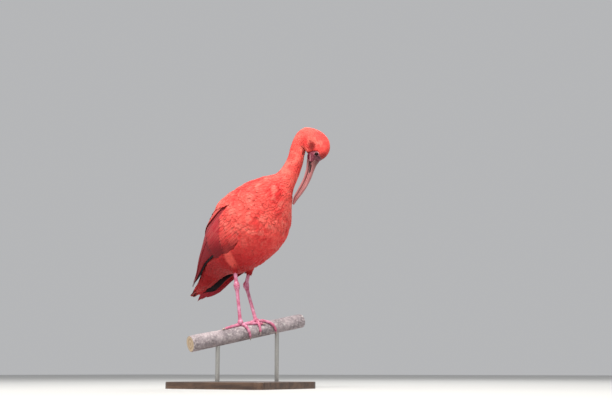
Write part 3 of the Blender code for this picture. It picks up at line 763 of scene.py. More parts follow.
def leg_finish():
    """Mauve-pink skin with a pale bloom and faint darker lines between its scales."""
    paint = Paint("leg_skin")
    bloom = paint.noise(9.0, 3.0)
    fine = paint.noise(1.2, 3.0)
    colour = paint.layers(
        (0.52, 0.115, 0.205),
        (bloom.step(0.35, 0.68), (0.68, 0.29, 0.43)),
        (fine.step(0.5, 0.75, 0.0, 0.2), (0.84, 0.50, 0.60)),
        (paint.attribute("scale_line", "Fac") * 0.42, (0.42, 0.06, 0.13)),
    )
    normal = paint.bump(fine, 0.12)
    paint.finish(specular_ior_level=0.5)
    return paint.finish(base_color=colour, roughness=bloom * 0.2 + 0.3, normal=normal)


def claw_finish():
    paint = Paint("claw_horn")
    grain = paint.noise(1.5, 4.0)
    colour = paint.blend(grain.step(0.3, 0.7), (0.30, 0.17, 0.16), (0.66, 0.52, 0.48))
    return paint.finish(base_color=colour, roughness=grain * 0.2 + 0.3, normal=paint.bump(grain, 0.08))


def bark_finish():
    """Grey and tan mottled bark with lichen, and paler sawn wood at both ends."""
    paint = Paint("bark")
    out, sawn = paint.attribute("bark").parts()[1:]
    large = paint.noise(26, 4.0, 0.6)
    small = paint.noise(4.5, 5.0, 0.65)
    rings = (out * 900.0 + large * 6.0).join("SINE") * 0.5 + 0.5
    wood = paint.blend(rings, (0.46, 0.32, 0.20), (0.62, 0.48, 0.33))
    colour = paint.layers(
        (0.22, 0.185, 0.20),
        (large.step(0.36, 0.64), (0.42, 0.355, 0.375)),
        (small.step(0.45, 0.75), (0.56, 0.49, 0.49)),
        (paint.noise(9, 4.0, 0.6).step(0.60, 0.70, 0.0, 0.6), (0.62, 0.60, 0.57)),
        (small.step(0.44, 0.28, 0.0, 0.7), (0.09, 0.07, 0.065)),
        (sawn, wood),
    )
    normal = paint.bump(small + large * 0.5, 0.7)
    return paint.finish(base_color=colour, roughness=small * 0.2 + 0.7, normal=normal)


def board_finish():
    """Dark satin wood with its grain along the board."""
    paint = Paint("board")
    x, y, z = paint.place.parts()
    long_way = paint.vector(x * 0.12, y, z)
    grain = paint.noise(9, 6.0, 0.6, place=long_way)
    pores = paint.noise(1.2, 2.0, place=long_way)
    colour = paint.blend(grain.step(0.3, 0.7), (0.045, 0.022, 0.014), (0.13, 0.07, 0.042))
    colour = paint.blend(pores.step(0.55, 0.7, 0.0, 0.6), colour, (0.02, 0.01, 0.008))
    normal = paint.bump(pores, 0.08)
    return paint.finish(base_color=colour, roughness=grain * 0.15 + 0.3, normal=normal, coat_weight=0.15)


def rod_finish():
    paint = Paint("rod")
    x, y, z = paint.place.parts()
    brushed = paint.noise(2.0, 3.0, place=paint.vector(x, y, z * 20.0))
    colour = paint.blend(brushed, (0.40, 0.39, 0.37), (0.60, 0.59, 0.56))
    normal = paint.bump(brushed, 0.02)
    return paint.finish(base_color=colour, metallic=1.0, roughness=brushed * 0.2 + 0.25, normal=normal)


def floor_finish():
    paint = Paint("floor")
    cloud = paint.noise(400, 2.0)
    colour = paint.blend(cloud, (0.56, 0.56, 0.55), (0.60, 0.60, 0.59))
    return paint.finish(base_color=colour, roughness=0.8)


# Feathers

def vane_object(name, rows, columns):
    """One closed feather, a unit long and from -1 to 1 wide, with the same triangles above and below."""
    points, faces = [], []
    around = 2 * columns
    for t, spread in rows:
        top, under = [], []
        for k in range(columns + 1):
            x = 2 * k / columns - 1
            place = (x * spread, t + 0.03 * (1 - abs(x)) * t)
            thick = 0.5 * (1 - x * x)
            top.append((*place, thick))
            if 0 < k < columns:
                under.append((*place, -thick))
        points += top + under[::-1]
    for r in range(len(rows) - 1):
        for k in range(columns):
            a, b = r * around + k, r * around + k + 1
            faces += [(a, b, b + around), (a, b + around, a + around)]
            a, b = r * around + (around - k) % around, r * around + around - k - 1
            faces += [(b, a, b + around), (a, a + around, b + around)]
    last = (len(rows) - 1) * around
    for first, way in ((0, 1), (last, -1)):
        for k in range(columns):
            ring = [first + k, first + (around - k) % around, first + around - k - 1, first + k + 1]
            faces.append(tuple(dict.fromkeys(ring[::way])))
    mesh = bpy.data.meshes.new(name)
    mesh.from_pydata(points, [], faces)
    return new_object(name, mesh)


# Outlines of a vane: share of its length, share of its width
SMALL = ((0.0, 0.4), (0.28, 0.8), (0.55, 1.0), (0.78, 0.92), (0.93, 0.62), (1.0, 0.24))
MIDDLE = ((0.0, 0.35), (0.2, 0.72), (0.42, 0.95), (0.62, 1.0), (0.8, 0.88), (0.93, 0.6), (1.0, 0.2))
LONG = (
    (0.0, 0.2), (0.06, 0.6), (0.14, 0.84), (0.24, 0.95), (0.36, 1.0), (0.48, 1.0), (0.6, 0.98),
    (0.7, 0.95), (0.79, 0.88), (0.87, 0.76), (0.93, 0.6), (0.97, 0.42), (1.0, 0.15),
)


def feather_tree():
    """Lays one vane at each point over a guide's surface, read through the guide's UV map."""
    group = bpy.data.node_groups.new("laid feathers", "GeometryNodeTree")
    sockets = (("Roots", "Geometry"), ("Vane", "Object"), ("Guide", "Object"), ("Finish", "Material"),
               ("Patch", "Float"), ("Unit", "Float"), ("Soft", "Float"))
    for name, kind in sockets:
        group.interface.new_socket(name, in_out="INPUT", socket_type=f"NodeSocket{kind}")
    group.interface.new_socket("Feathers", in_out="OUTPUT", socket_type="NodeSocketGeometry")
    tree = Tree(group)
    given = tree.add("NodeGroupInput", whole=True)
    roots, vane, guide, finish, patch, unit, soft = (Wire(tree, given.outputs[n]) for n, k in sockets)
    vane = tree.add("GeometryNodeObjectInfo", {"Object": vane}, out="Geometry")
    guide = tree.add("GeometryNodeObjectInfo", {"Object": guide}, out="Geometry")

    def named(name, kind="FLOAT_VECTOR"):
        return tree.add("GeometryNodeInputNamedAttribute", {"Name": name}, data_type=kind)

    def keep(name, value, kind, domain):
        sockets = {"Geometry": laid, "Name": name, "Value": value}
        return tree.add("GeometryNodeStoreNamedAttribute", sockets, data_type=kind, domain=domain)

    def sample(value, where):
        sockets = {"Mesh": guide, "Value": value, "Source UV Map": named("lie"), "Sample UV": where}
        return tree.add("GeometryNodeSampleUVSurface", sockets, data_type="FLOAT_VECTOR")

    laid = tree.add("GeometryNodeInstanceOnPoints", {"Points": roots, "Instance": vane})
    laid = tree.add("GeometryNodeRealizeInstances", {"Geometry": laid})
    place, own = tree.add("GeometryNodeInputPosition"), tree.add("GeometryNodeInputNormal")
    laid = keep("shape", place, "FLOAT_VECTOR", "POINT")
    across, along, thick = named("shape").parts()
    root, reach, cross, rise = (named(name).parts() for name in ("root", "reach", "cross", "rise"))
    middle = tree.vector(root[0] + reach[0] * along, root[1] + reach[1] * along)
    pace = sample(named("pace"), middle)
    offset = across * cross[2]
    spot = tree.vector(*(middle.part(n) + cross[n] * offset / pace.part(n) for n in (0, 1)))
    spot = spot.join("MAXIMUM", (0.001, 0.001, 0.0)).join("MINIMUM", (0.999, 0.999, 1.0))
    lift = rise[0] + (rise[1] - rise[0]) * along
    lift = lift + reach[2] * across - rise[2] * across * across + thick * named("thick", "FLOAT")
    surface, normal = sample(place, spot), sample(own, spot)
    up = tree.add("ShaderNodeVectorMath", {0: normal, "Scale": lift * unit}, operation="SCALE")
    laid = tree.add("GeometryNodeSetPosition", {"Geometry": laid, "Position": surface + up})
    patches = tree.vector(root[0] + across * patch, root[1] + along * patch)
    laid = keep("OFBake", patches, "FLOAT2", "CORNER")
    laid = tree.add("GeometryNodeSetShadeSmooth", {"Geometry": laid})
    shared = (own + (normal - own) * soft).join("NORMALIZE")
    sockets = {"Mesh": laid, "Custom Normal": shared}
    laid = tree.add("GeometryNodeSetMeshNormal", sockets, mode="FREE", domain="POINT")
    laid = tree.add("GeometryNodeSetMaterial", {"Geometry": laid, "Material": finish})
    tree.add("NodeGroupOutput", {0: laid}, whole=True)
    return group


class Hide:
    """A surface that feathers are laid over, made of evenly numbered rows and columns of points."""

    def __init__(self, name, point, rows, columns, steps):
        self.rows, self.columns = rows, columns
        count, across = steps
        lengthwise = [mix(*rows, i / (count - 1)) for i in range(count)]
        crosswise = [mix(*columns, j / (across - 1)) for j in range(across)]
        self.grid = np.array([[tuple(point(a, b)) for b in crosswise] for a in lengthwise])
        down = np.linalg.norm(np.gradient(self.grid, axis=0), axis=2) * (count - 1)
        wide = np.linalg.norm(np.gradient(self.grid, axis=1), axis=2) * (across - 1)
        self.pace = np.stack([wide, down, down * 0], axis=2)
        spots = self.grid.reshape(-1, 3) * MM + np.array(SHIFT)
        faces = [
            (a, a + 1, a + across + 1, a + across)
            for i in range(count - 1) for a in range(i * across, (i + 1) * across - 1)
        ]
        mesh = bpy.data.meshes.new(name)
        mesh.from_pydata([tuple(p) for p in spots], [], faces)
        lie = mesh.uv_layers.new(name="lie")
        corner = np.array([loop.vertex_index for loop in mesh.loops])
        uv = np.stack([(corner % across) / (across - 1), (corner // across) / (count - 1)], axis=1)
        lie.data.foreach_set("uv", uv.ravel())
        mark(mesh, "pace", self.pace.ravel())
        self.object = new_object(name, mesh)
        row, column = count // 2, across // 2
        start, middle = self.grid[row, column], self.grid[row].mean(axis=0)
        turn = np.cross(self.grid[row, column + 1] - start, self.grid[row + 1, column] - start)
        self.mirrored = np.dot(turn, start - middle) > 0
        if not self.mirrored:
            mesh.flip_normals()

    def uv(self, row, column):
        u = (np.asarray(column, float) - self.columns[0]) / (self.columns[1] - self.columns[0])
        v = (np.asarray(row, float) - self.rows[0]) / (self.rows[1] - self.rows[0])
        return u, v


def read_grid(grid, u, v):
    """A grid's values between its points, at shares of its columns and rows."""
    count, across = grid.shape[:2]
    x = np.clip(u, 0, 1) * (across - 1)
    y = np.clip(v, 0, 1) * (count - 1)
    i, j = np.minimum(y.astype(int), count - 2), np.minimum(x.astype(int), across - 2)
    fy, fx = (y - i)[:, None], (x - j)[:, None]
    top = grid[i, j] * (1 - fx) + grid[i, j + 1] * fx
    low = grid[i + 1, j] * (1 - fx) + grid[i + 1, j + 1] * fx
    return top * (1 - fy) + low * fy


def scattered(hide, draw, spacing, allowed):
    """Roots spread at least the wanted spacing apart, as shares of a surface's columns and rows."""
    grid = hide.grid
    down, across = grid[1:, :-1] - grid[:-1, :-1], grid[:-1, 1:] - grid[:-1, :-1]
    cells = np.linalg.norm(np.cross(down, across), axis=2)
    tall, wide = cells.shape
    u_grid, v_grid = np.meshgrid((np.arange(wide) + 0.5) / wide, (np.arange(tall) + 0.5) / tall)
    expected = cells * allowed(u_grid, v_grid) / (0.7 * spacing(u_grid, v_grid) ** 2)
    total = int(expected.sum() * TRIES)
    pick = draw.choice(cells.size, total, p=(expected / expected.sum()).ravel())
    u = (pick % wide + draw.random(total)) / wide
    v = (pick // wide + draw.random(total)) / tall
    places = read_grid(grid, u, v)
    gaps = spacing(u, v)
    kept, buckets = [], {}
    keys = np.floor(places / float(gaps.max())).astype(int)
    around = list(itertools.product((-1, 0, 1), repeat=3))
    for n in range(total):
        key, place, gap = tuple(keys[n]), places[n], gaps[n]
        near = []
        for dx, dy, dz in around:
            near += buckets.get((key[0] + dx, key[1] + dy, key[2] + dz), ())
        if near:
            apart = places[near] - place
            if ((apart * apart).sum(axis=1) < gap * gap).any():
                continue
        buckets.setdefault(key, []).append(n)
        kept.append(n)
    return u[kept], v[kept]


FEATHER_TREE = feather_tree()


def lay(name, hide, vane, finish, feathers, soft=0.5):
    """A mesh of feathers laid over a surface. Each array of feathers holds one row for each of them."""
    if hide.mirrored:
        feathers["cross"][:, :2] *= -1
        feathers["reach"][:, 2] *= -1
    mesh = bpy.data.meshes.new(name)
    mesh.from_pydata([(0, 0, 0)] * len(feathers["root"]), [], [])
    for key, values in feathers.items():
        mark(mesh, key, values.ravel(), values.ndim == 2)
    made = new_object(name, mesh)
    step = made.modifiers.new("feathers", "NODES")
    step.node_group = FEATHER_TREE
    given = {"Vane": vane, "Guide": hide.object, "Finish": finish}
    given.update({"Patch": PATCH, "Unit": MM, "Soft": soft})
    for socket in FEATHER_TREE.interface.items_tree:
        if socket.in_out == "INPUT" and socket.name in given:
            step[socket.identifier] = given[socket.name]
    settle(made)
    for key in ("reach", "cross", "rise", "thick"):
        if key in made.data.attributes:
            made.data.attributes.remove(made.data.attributes[key])
    return made


def coat_rows(hide, draw, u, v, length, width, lifts, camber, thick):
    """The rows of many small feathers that point to lower row numbers, with some disorder."""
    count = len(u)
    pace = read_grid(hide.pace, u, v)
    turn = draw.normal(0, FEATHER_DISORDER, count)
    size = draw.uniform(0.85, 1.15, count)
    length, width = length * size, width * draw.uniform(0.9, 1.12, count)
    reach_x, reach_y = np.sin(turn) * length / pace[:, 0], -np.cos(turn) * length / pace[:, 1]
    rise = draw.uniform(-0.08, 0.08, count)
    return {
        "root": np.stack([u, v, draw.random(count)], axis=1),
        "reach": np.stack([reach_x, reach_y, draw.normal(0, 0.05, count)], axis=1),
        "cross": np.stack([np.cos(turn), np.sin(turn), width / 2], axis=1),
        "rise": np.stack([lifts[0] + rise, lifts[1] + rise, camber + 0 * u], axis=1),
        "thick": thick + 0 * u,
    }


def tier(hide, draw, count, roots, tips, width, lifts, long=0.0, ink=0.0, camber=0.6, roll=0.5):
    """One row of overlapping feathers. Roots and tips give the first's and last's place and a bow."""
    t = np.linspace(0, 1, count) if count > 1 else np.array([0.5])
    bow = np.sin(np.pi * t)
    root_row = mix(roots[0][0], roots[1][0], t) + roots[2] * bow
    root_column = mix(roots[0][1], roots[1][1], t)
    tip_row = mix(tips[0][0], tips[1][0], t) + tips[2] * bow + draw.uniform(-0.04, 0.04, count)
    tip_column = mix(tips[0][1], tips[1][1], t) + draw.uniform(-0.8, 0.8, count)
    root_u, root_v = hide.uv(root_row, root_column)
    tip_u, tip_v = hide.uv(tip_row, tip_column)
    pace = read_grid(hide.pace, (root_u + tip_u) / 2, (root_v + tip_v) / 2)
    way = np.stack([(tip_u - root_u) * pace[:, 0], (tip_v - root_v) * pace[:, 1]], axis=1)
    way /= np.linalg.norm(way, axis=1)[:, None]
    rise = draw.uniform(-0.12, 0.12, count)
    wide = width * draw.uniform(0.95, 1.06, count) / 2
    return {
        "root": np.stack([root_u, root_v, draw.random(count)], axis=1),
        "reach": np.stack([tip_u - root_u, tip_v - root_v, roll + 0 * t], axis=1),
        "cross": np.stack([-way[:, 1], way[:, 0], wide], axis=1),
        "rise": np.stack([lifts[0] + rise, lifts[1] + rise, camber + 0 * t], axis=1),
        "thick": 0.7 + 0 * t,
        "ink": ink + 0 * t,
        "long": long + 0 * t,
    }


def stacked(rows):
    return {key: np.concatenate([row[key] for row in rows]) for key in rows[0]}


# The bird's surface, from under the tail to the bill's base, as numbered key rings

def cheek_hollow(point):
    """How far the cheek sinks in where the jaw meets the bent neck."""
    from_middle = math.hypot((in_head(point)[0] - 66.0) / 9.5, (point.z - 366.0) / 10.0)
    return 4.0 * math.exp(-from_middle ** 2)


def head_outline(row, angle, fullness):
    point = oval_point(row, angle, fullness)
    side = in_head(point)[1]
    return point - head_axes()[1] * math.copysign(min(cheek_hollow(point), abs(side) * 0.4), side)


def key_rings(under_wings):
    """Ring functions of the angle, in order from tail to bill, with the body section of each."""
    rings = []
    for s in (-0.1, 0.2, 0.5, 0.8, 1.1, 1.4):
        rings.append((s, lambda a, s=s: tail_core_point(s, a)))
    for s in (1.9, 2.3, 2.7, 3.1, 3.5, 4.0, 4.5, 5.0, 5.5, 6.0):
        rings.append((s, lambda a, s=s: body_point(s, a, -recess(s, a) * under_wings)))
    for row in (0.25, 1.0, 2.0, 3.0, 4.0, 5.0, 6.0, 7.0):
        rings.append((6.5 + row, lambda a, row=row: head_outline(spline(NECK, row), a, 1.0)))
    for row in (0.0, 1.0, 2.0, 3.0, 4.0, 5.0, 6.0):
        rings.append((14.5 + row, lambda a, row=row: head_outline(spline(HEAD, row), a, 0.94)))
    return rings


SECTIONS = [s for s, ring in key_rings(1)]
TORSO_START, NECK_START, HEAD_START, LAST_KEY = 6, 16, 24, 30
RING_COLUMNS = 72


def ring_table(under_wings):
    rows = []
    for s, ring in key_rings(under_wings):
        angles = [360 * k / RING_COLUMNS for k in range(RING_COLUMNS)]
        rows.append([n for a in angles for n in ring(a if a <= 180 else a - 360)])
    return rows


def smooth_ring(rows, key):
    """The ring of points at a place between the key rings."""
    flat = spline(rows, key)
    return [Vector(flat[3 * k:3 * k + 3]) for k in range(RING_COLUMNS)]


def ring_reader(rows):
    cache = {}

    def point(key, angle):
        ring = cache.get(key)
        if ring is None:
            ring = cache[key] = smooth_ring(rows, key)
        place = (angle % 360) / 360 * RING_COLUMNS
        k = int(place)
        t = place - k
        a, b, c, d = (ring[(k + n) % RING_COLUMNS] for n in (-1, 0, 1, 2))
        return b + 0.5 * t * (c - a + t * (2 * a - 5 * b + 4 * c - d + t * (3 * (b - c) + d - a)))

    return point


BODY_TABLE, OUTLINE_TABLE = ring_table(1), ring_table(0)
under_point, smooth_point = ring_reader(BODY_TABLE), ring_reader(OUTLINE_TABLE)


def outline_point(key, angle):
    """The outline with the soft clumps that the body feathers lie in."""
    spot = smooth_point(key, angle)
    top, bottom = smooth_point(key, 0), smooth_point(key, 180)
    if key < 1.0:
        upright = (top - bottom).normalized()
        spot -= upright * (spot - top.lerp(bottom, 0.35)).dot(upright) * between(-key, -1.0, 1.2) * 0.92
    out = (spot - (top + bottom) / 2).normalized()
    small_clumps = 1.4 * abs(noise.noise(spot / 11 + Vector((9, 4, 7))))
    clumps = 3.4 * abs(noise.noise(spot / 24)) + small_clumps - 0.9
    return spot + out * clumps * mix(1.0, 0.16, between(key, NECK_START - 0.5, NECK_START + 2.5))


def inset_at(key):
    """How deep the skin lies under the coat's outline."""
    if key < HEAD_START:
        return mix(SKIN_DEPTH, 2.2, between(key, NECK_START, NECK_START + 3))
    return mix(2.2, 0.15, between(key, HEAD_START + 2.6, HEAD_START + 4.6))


def face_border(reach):
    """The height where the feathers of the face end, at a reach in the head's plane."""
    return float(np.interp(reach, *zip(
        (50.0, 351.0), (60.0, 350.0), (70.0, 350.5), (78.0, 350.2), (82.0, 348.6), (84.5, 344.0),
        (86.0, 337.0), (88.0, 331.5), (96.0, 328.0),
    )))


def make_skin(finish):
    rings = []
    fine_from = HEAD_START + 2.5
    for key in [*np.linspace(0.0, fine_from, 125), *np.linspace(fine_from, LAST_KEY, 70)[1:]]:
        ring = smooth_ring(BODY_TABLE, key)
        centre = sum(ring, Vector()) / len(ring)
        inset = inset_at(key)
        inward = [centre - p for p in ring]
        rings.append([p + w.normalized() * min(inset, w.length * 0.6) for p, w in zip(ring, inward)])
    # over the bill's base, where the skin closes
    for r, out in ((0.06, 0.45), (0.16, 0.4), (0.26, 0.25), (0.34, 0.0), (0.38, -0.6)):
        row = spline(BILL, r)
        centre = head_point((row[0] + row[2]) / 2, (row[1] + row[3]) / 2)
        ring = [oval_point(row, 360 * k / RING_COLUMNS, 0.88) for k in range(RING_COLUMNS)]
        rings.append([p + (p - centre).normalized() * out for p in ring])
    skin = new_object("skin", loft("skin", rings), finish)
    thighs = []
    for name, leg in (("right", RIGHT_LEG), ("left", LEFT_LEG)):
        path, sizes = thigh_line(leg, 12)
        rings = tube(path, [max(size - 2.5, 4.6) for size in sizes], 32, up=Vector((0, 1, 0)))
        thighs.append(new_object(f"thigh_{name}_skin", loft("thigh", rings)))
    fuse(skin, thighs)
    skin.data.materials.clear()
    skin.data.materials.append(finish)
    left = head_axes()[1]
    values = []
    for vertex in skin.data.vertices:
        p = (vertex.co - SHIFT) / MM
        reach, side = in_head(p)
        border = face_border(reach)
        bare = between(reach, 53.4, 55.2) * (1 - between(p.z, border - 0.8, border + 1.2))
        gape = between(p.z, 329, 333) * (1 - between(p.z, 343, 347))
        gape_middle, corner = 64.9 + (p.z - 338) * 0.1, 60.6 + (p.z - 342) * 0.1
        pale = gape * math.exp(-((reach - gape_middle) / 0.8) ** 2)
        dark = gape * math.exp(-((reach - corner) / 2.6) ** 2)
        # the fold under the eye
        dark += 0.7 * math.exp(-((reach - 80.5) / 3.2) ** 2 - ((p.z - 337) / 1.6) ** 2)
        if bare > 0.5 and abs(side) > 3:
            vertex.co -= left * math.copysign((1.3 * min(dark, 1.0) - 0.3 * pale) * MM, side)
        values += [bare, pale, dark]
    mark(skin.data, "face", values)
    return skin


COAT_SIZES = (
    # key ring, length and width of a feather
    (0.0, 19, 11), (1.5, 25, 12), (TORSO_START, 22, 11), (9, 20, 10.5), (12, 19, 10.5),
    (NECK_START, 15, 9), (NECK_START + 2, 11, 6.4), (NECK_START + 5, 9, 5.2), (HEAD_START, 7.4, 4.4),
    (HEAD_START + 2, 5.6, 3.4), (HEAD_START + 5.6, 3.4, 2.2),
)


def make_coats(vane, finish):
    """The contour feathers, small on the head and larger towards the breast and tail."""
    low, high = -1.5, HEAD_START + 5.6
    span = (-200, 200)
    under = Hide("under_guide", under_point, (low, high), span, (330, 201))
    outline = Hide("outline_guide", outline_point, (low, high), span, (330, 201))
    draw = np.random.default_rng(SEED)
    keys, lengths, widths = zip(*COAT_SIZES)

    def place(u, v):
        """Key, section, angle from the back and whether it lies in the one full turn."""
        key, angle = mix(low, high, v), np.abs(mix(*span, u))
        section = np.interp(key, range(len(SECTIONS)), SECTIONS)
        return key, section, np.minimum(angle, 360 - angle), angle <= 180

    def bare_face(u, v):
        """True on the bare skin before the eye and on the lids."""
        spot = read_grid(under.grid, u.ravel(), v.ravel()).reshape(*u.shape, 3)
        reach, side = in_head_all(spot[..., 0], spot[..., 1])
        border = np.interp(reach.ravel(), np.arange(50, 100.0), [face_border(r) for r in range(50, 100)])
        from_eye = np.hypot(reach - EYE_REACH, (spot[..., 2] - EYE_HEIGHT) / 0.86)
        lid = (from_eye < LID_RADIUS + 1.7) & (np.abs(side) > 7)
        below = (reach > 55) & (spot[..., 2] < border.reshape(u.shape))
        return ((mix(low, high, v) > HEAD_START) & below) | lid

    def flank(u, v):
        """True under the lower edge of a folded wing, where the body sinks in."""
        key, section, angle, once = place(u, v)
        edge = np.interp(section, [row[0] for row in WING], [row[2] for row in WING])
        return once & (section > 1.5) & (section < 5.4) & (angle > edge - 20) & (angle < edge + 10)

    def rest(first, last):
        """True between two keys, but not under a folded wing or on the bare face."""
        sections, tops, edges = zip(*WING_OPEN)

        def test(u, v):
            key, section, angle, once = place(u, v)
            top, edge = np.interp(section, sections, tops), np.interp(section, sections, edges)
            covered = (section > 1.0) & (section < 5.5) & (angle > top) & (angle <= edge)
            return once & (key >= first) & (key < last) & ~covered & ~bare_face(u, v)
        return test

    def spacing(u, v):
        return np.interp(mix(low, high, v), keys, widths) * 0.4

    neck, head = NECK_START + 0.6, HEAD_START - 0.4
    for name, guide, where, root_lift, tip_lift in (
        ("coat_flank", under, flank, -1.2, 0.05),
        ("coat_rear", outline, rest(0.1, 9.0), -1.2, 0.05),
        ("coat_breast", outline, rest(9.0, neck), -1.2, 0.1),
        ("coat_neck", outline, rest(neck, head), -0.8, 0.05),
        ("coat_head", outline, rest(head, HEAD_START + 5.6), -0.6, 0.05),
    ):
        u, v = scattered(guide, draw, spacing, where)
        test = where(u, v)
        u, v = u[test], v[test]
        key = mix(low, high, v)
        length, width = np.interp(key, keys, lengths), np.interp(key, keys, widths)
        root_lift = mix(root_lift, -0.25, between_all(key, HEAD_START + 2.5, HEAD_START + 5.0))
        lifts = (root_lift, tip_lift)
        rows = coat_rows(guide, draw, u, v, length, width, lifts, width * 0.03, width * 0.03)
        yield lay(name, guide, vane, finish, rows, 0.6)


def make_thigh_coat(name, leg, vane, finish):
    sides = 40
    path, sizes = thigh_line(leg, sides)
    rings = tube(path, sizes, sides, up=Vector((0, 1, 0)))
    onward = (path[-1] - path[-2]).normalized()

    def point(row, column):
        """A place on the thigh, or past its end, where it closes slowly round the leg."""
        i, k = min(max(-row, 0), sides - 1.001), column % sides
        a, b = int(i), int(k)
        top = rings[a][b].lerp(rings[a][(b + 1) % sides], k - b)
        low = rings[a + 1][b].lerp(rings[a + 1][(b + 1) % sides], k - b)
        past = max(-row - 39, 0)
        spot = top.lerp(low, i - a) + onward * past * 1.1
        return spot.lerp(path[-1] + onward * past * 1.1, min(past * 0.035, 0.5))

    hide = Hide(f"{name}_guide", point, (-60, 0), (-3, 43), (80, 60))
    draw = np.random.default_rng(SEED + len(name))

    def spacing(u, v):
        return mix(2.2, 4.4, v)

    def allowed(u, v):
        column, row = mix(-3, 43, u), mix(60, 0, v)
        return (column >= 0) & (column < sides) & (row < 38.5) & (row > 8)

    u, v = scattered(hide, draw, spacing, allowed)
    size = mix(4.6, 9.5, v)
    rows = coat_rows(hide, draw, u, v, size * 1.9, size, (-1.5, 0.2), size * 0.06, size * 0.04)
    return lay(name, hide, vane, finish, rows)


# Wings and tail

# Rows of wing feathers: how many, the roots of the first and last as (section, angle) and a bow,
# the tips likewise, width, lifts of root and tip, and how far they are long feathers. The near wing
# (-1) lies closed, with the edge of its primaries showing, and the far one (1) hangs a little open.
PRIMARIES = {
    -1: (9, ((3.6, 113), (2.6, 62), 0), ((0.65, 79), (0.1, 52), 0), 13, (-4.6, -3.7), 1.0),
    1: (9, ((3.0, 101), (2.3, 62), 0), ((0.6, 63), (0.2, 50), 0), 13, (-4.6, -3.7), 1.0),
}
SECONDARIES = {
    -1: (16, ((3.4, 104), (2.9, 36), 0), ((1.7, 88), (0.1, 48), -0.35), 14, (-4.0, -2.2), 1.0),
    1: (16, ((3.3, 114), (2.9, 36), 0), ((1.6, 104), (-0.2, 58), -0.15), 14, (-4.0, -2.2), 1.0),
}
TERTIALS = (9, ((4.7, 74), (4.3, 22), 0), ((0.4, 52), (1.0, 8), 0), 16, (-4.2, -1.0), 1.0)
COVERTS = (
    # greater coverts, two rows of median coverts, two rows of scapulars
    (14, ((4.2, 121), (4.6, 70), 0.1), ((2.75, 117), (3.0, 66), -0.1), 15, (-3.8, -1.2), 0.75),
    (13, ((4.5, 121), (5.2, 70), 0.1), ((3.3, 119), (4.1, 73), -0.1), 14, (-3.4, -0.5), 0.1),
    (12, ((4.8, 120), (5.4, 72), 0.1), ((3.7, 119), (4.5, 74), -0.1), 13, (-3.2, -0.3), 0.0),
    (9, ((5.2, 58), (4.2, 14), 0), ((3.4, 47), (2.0, 9), 0), 17, (-2.8, -0.2), 0.35),
    (9, ((5.75, 64), (4.8, 18), 0), ((4.3, 56), (3.0, 12), 0), 17, (-2.8, 0.0), 0.1),
)


def make_wing(side, name, finishes, vanes):
    rows, columns = (-1.4, 6.7), (-50, 170)
    hide = Hide(f"{name}_guide", lambda s, a: wing_point(side, s, a, 0.0), rows, columns, (190, 170))
    draw = np.random.default_rng(SEED + 50 + side)
    long_vane, middle_vane, small_vane = vanes
    finish, downy = finishes
    flight = [tier(hide, draw, *PRIMARIES[side], ink=1.0)]
    flight += [tier(hide, draw, *row) for row in (SECONDARIES[side], TERTIALS)]
    yield lay(f"{name}_flight", hide, long_vane, finish, stacked(flight), 0.2)
    coverts = [tier(hide, draw, *row) for row in COVERTS]
    yield lay(f"{name}_coverts", hide, middle_vane, finish, stacked(coverts), 0.3)

    def spacing(u, v):
        return np.full_like(u, 4.6)

    def allowed(u, v):
        section, angle = mix(*rows, v), mix(*columns, u)
        return (section > 4.75) & (section < 5.7) & (angle > 69 + (section - 4.75) * 12) & (angle < 121)

    u, v = scattered(hide, draw, spacing, allowed)
    lesser = coat_rows(hide, draw, u, v, 19, 11, (-1.6, 0.1), 0.35, 0.3)
    yield lay(f"{name}_lesser_coverts", hide, small_vane, downy, lesser, 0.55)
    yield wing_under(side, f"{name}_under", finish)


def wing_under(side, name, finish):
    """The smooth arm and shell that the wing's feathers grow from, black where the primaries show."""
    steps, count = 90, 48
    points, inks = [], []
    for i in range(steps):
        s = 0.6 + (6.2 - 0.6) * i / (steps - 1)
        top, low = wing_edges(s)
        thick = mix(0.5, WING_RECESS - 1.0, between(s, 0.6, 2.1))
        border = np.interp(s, (0.6, 1.0, 1.5, 2.0, 3.0), (66, 77, 89, 101, 114)) if side > 0 else 200
        centre, wide = (top + low) / 2, mix(0.12, 1.0, between(s, 0.55, 1.25))
        lift = WING_SHELL_LIFT - mix(1.6, 3.2, between(s, 4.2, 5.2))
        outer, inner, black = [], [], []
        for k in range(count + 1):
            u = 2 * k / count - 1
            angle = mix(centre, mix(top + 2, low - 2, k / count), wide)
            depth = mix(0.6, thick, math.sqrt(max(1 - u * u, 0.0)) ** 0.7)
            outer.append(wing_point(side, s, angle, lift))
            inner.append(wing_point(side, s, angle, max(lift - depth, -WING_RECESS - 1)))
            black.append((1 - between(angle, border - 1, border + 1)) * (1 - between(s, 2.9, 3.3)))
        points += outer + inner[1:-1][::-1]
        inks += (black if side < 0 else [0.0] * (count + 1)) + black[1:-1][::-1]
    width = 2 * count
    faces = ring_faces(steps, width, capped=False)
    for first in (0, (steps - 1) * width):
        for k in range(count):
            a, b = first + (width - k - 1) % width, first + (width - k) % width
            faces.append(tuple(dict.fromkeys((first + k, first + k + 1, a, b))))
    mesh = mesh_of(name, points, faces)
    for key, value in (("shape", (0.4, 0.7, 0.0)), ("root", (0.5, 0.5, 0.2))):
        mark(mesh, key, value * len(points))
    mark(mesh, "ink", inks, wide=False)
    return new_object(name, mesh, finish)


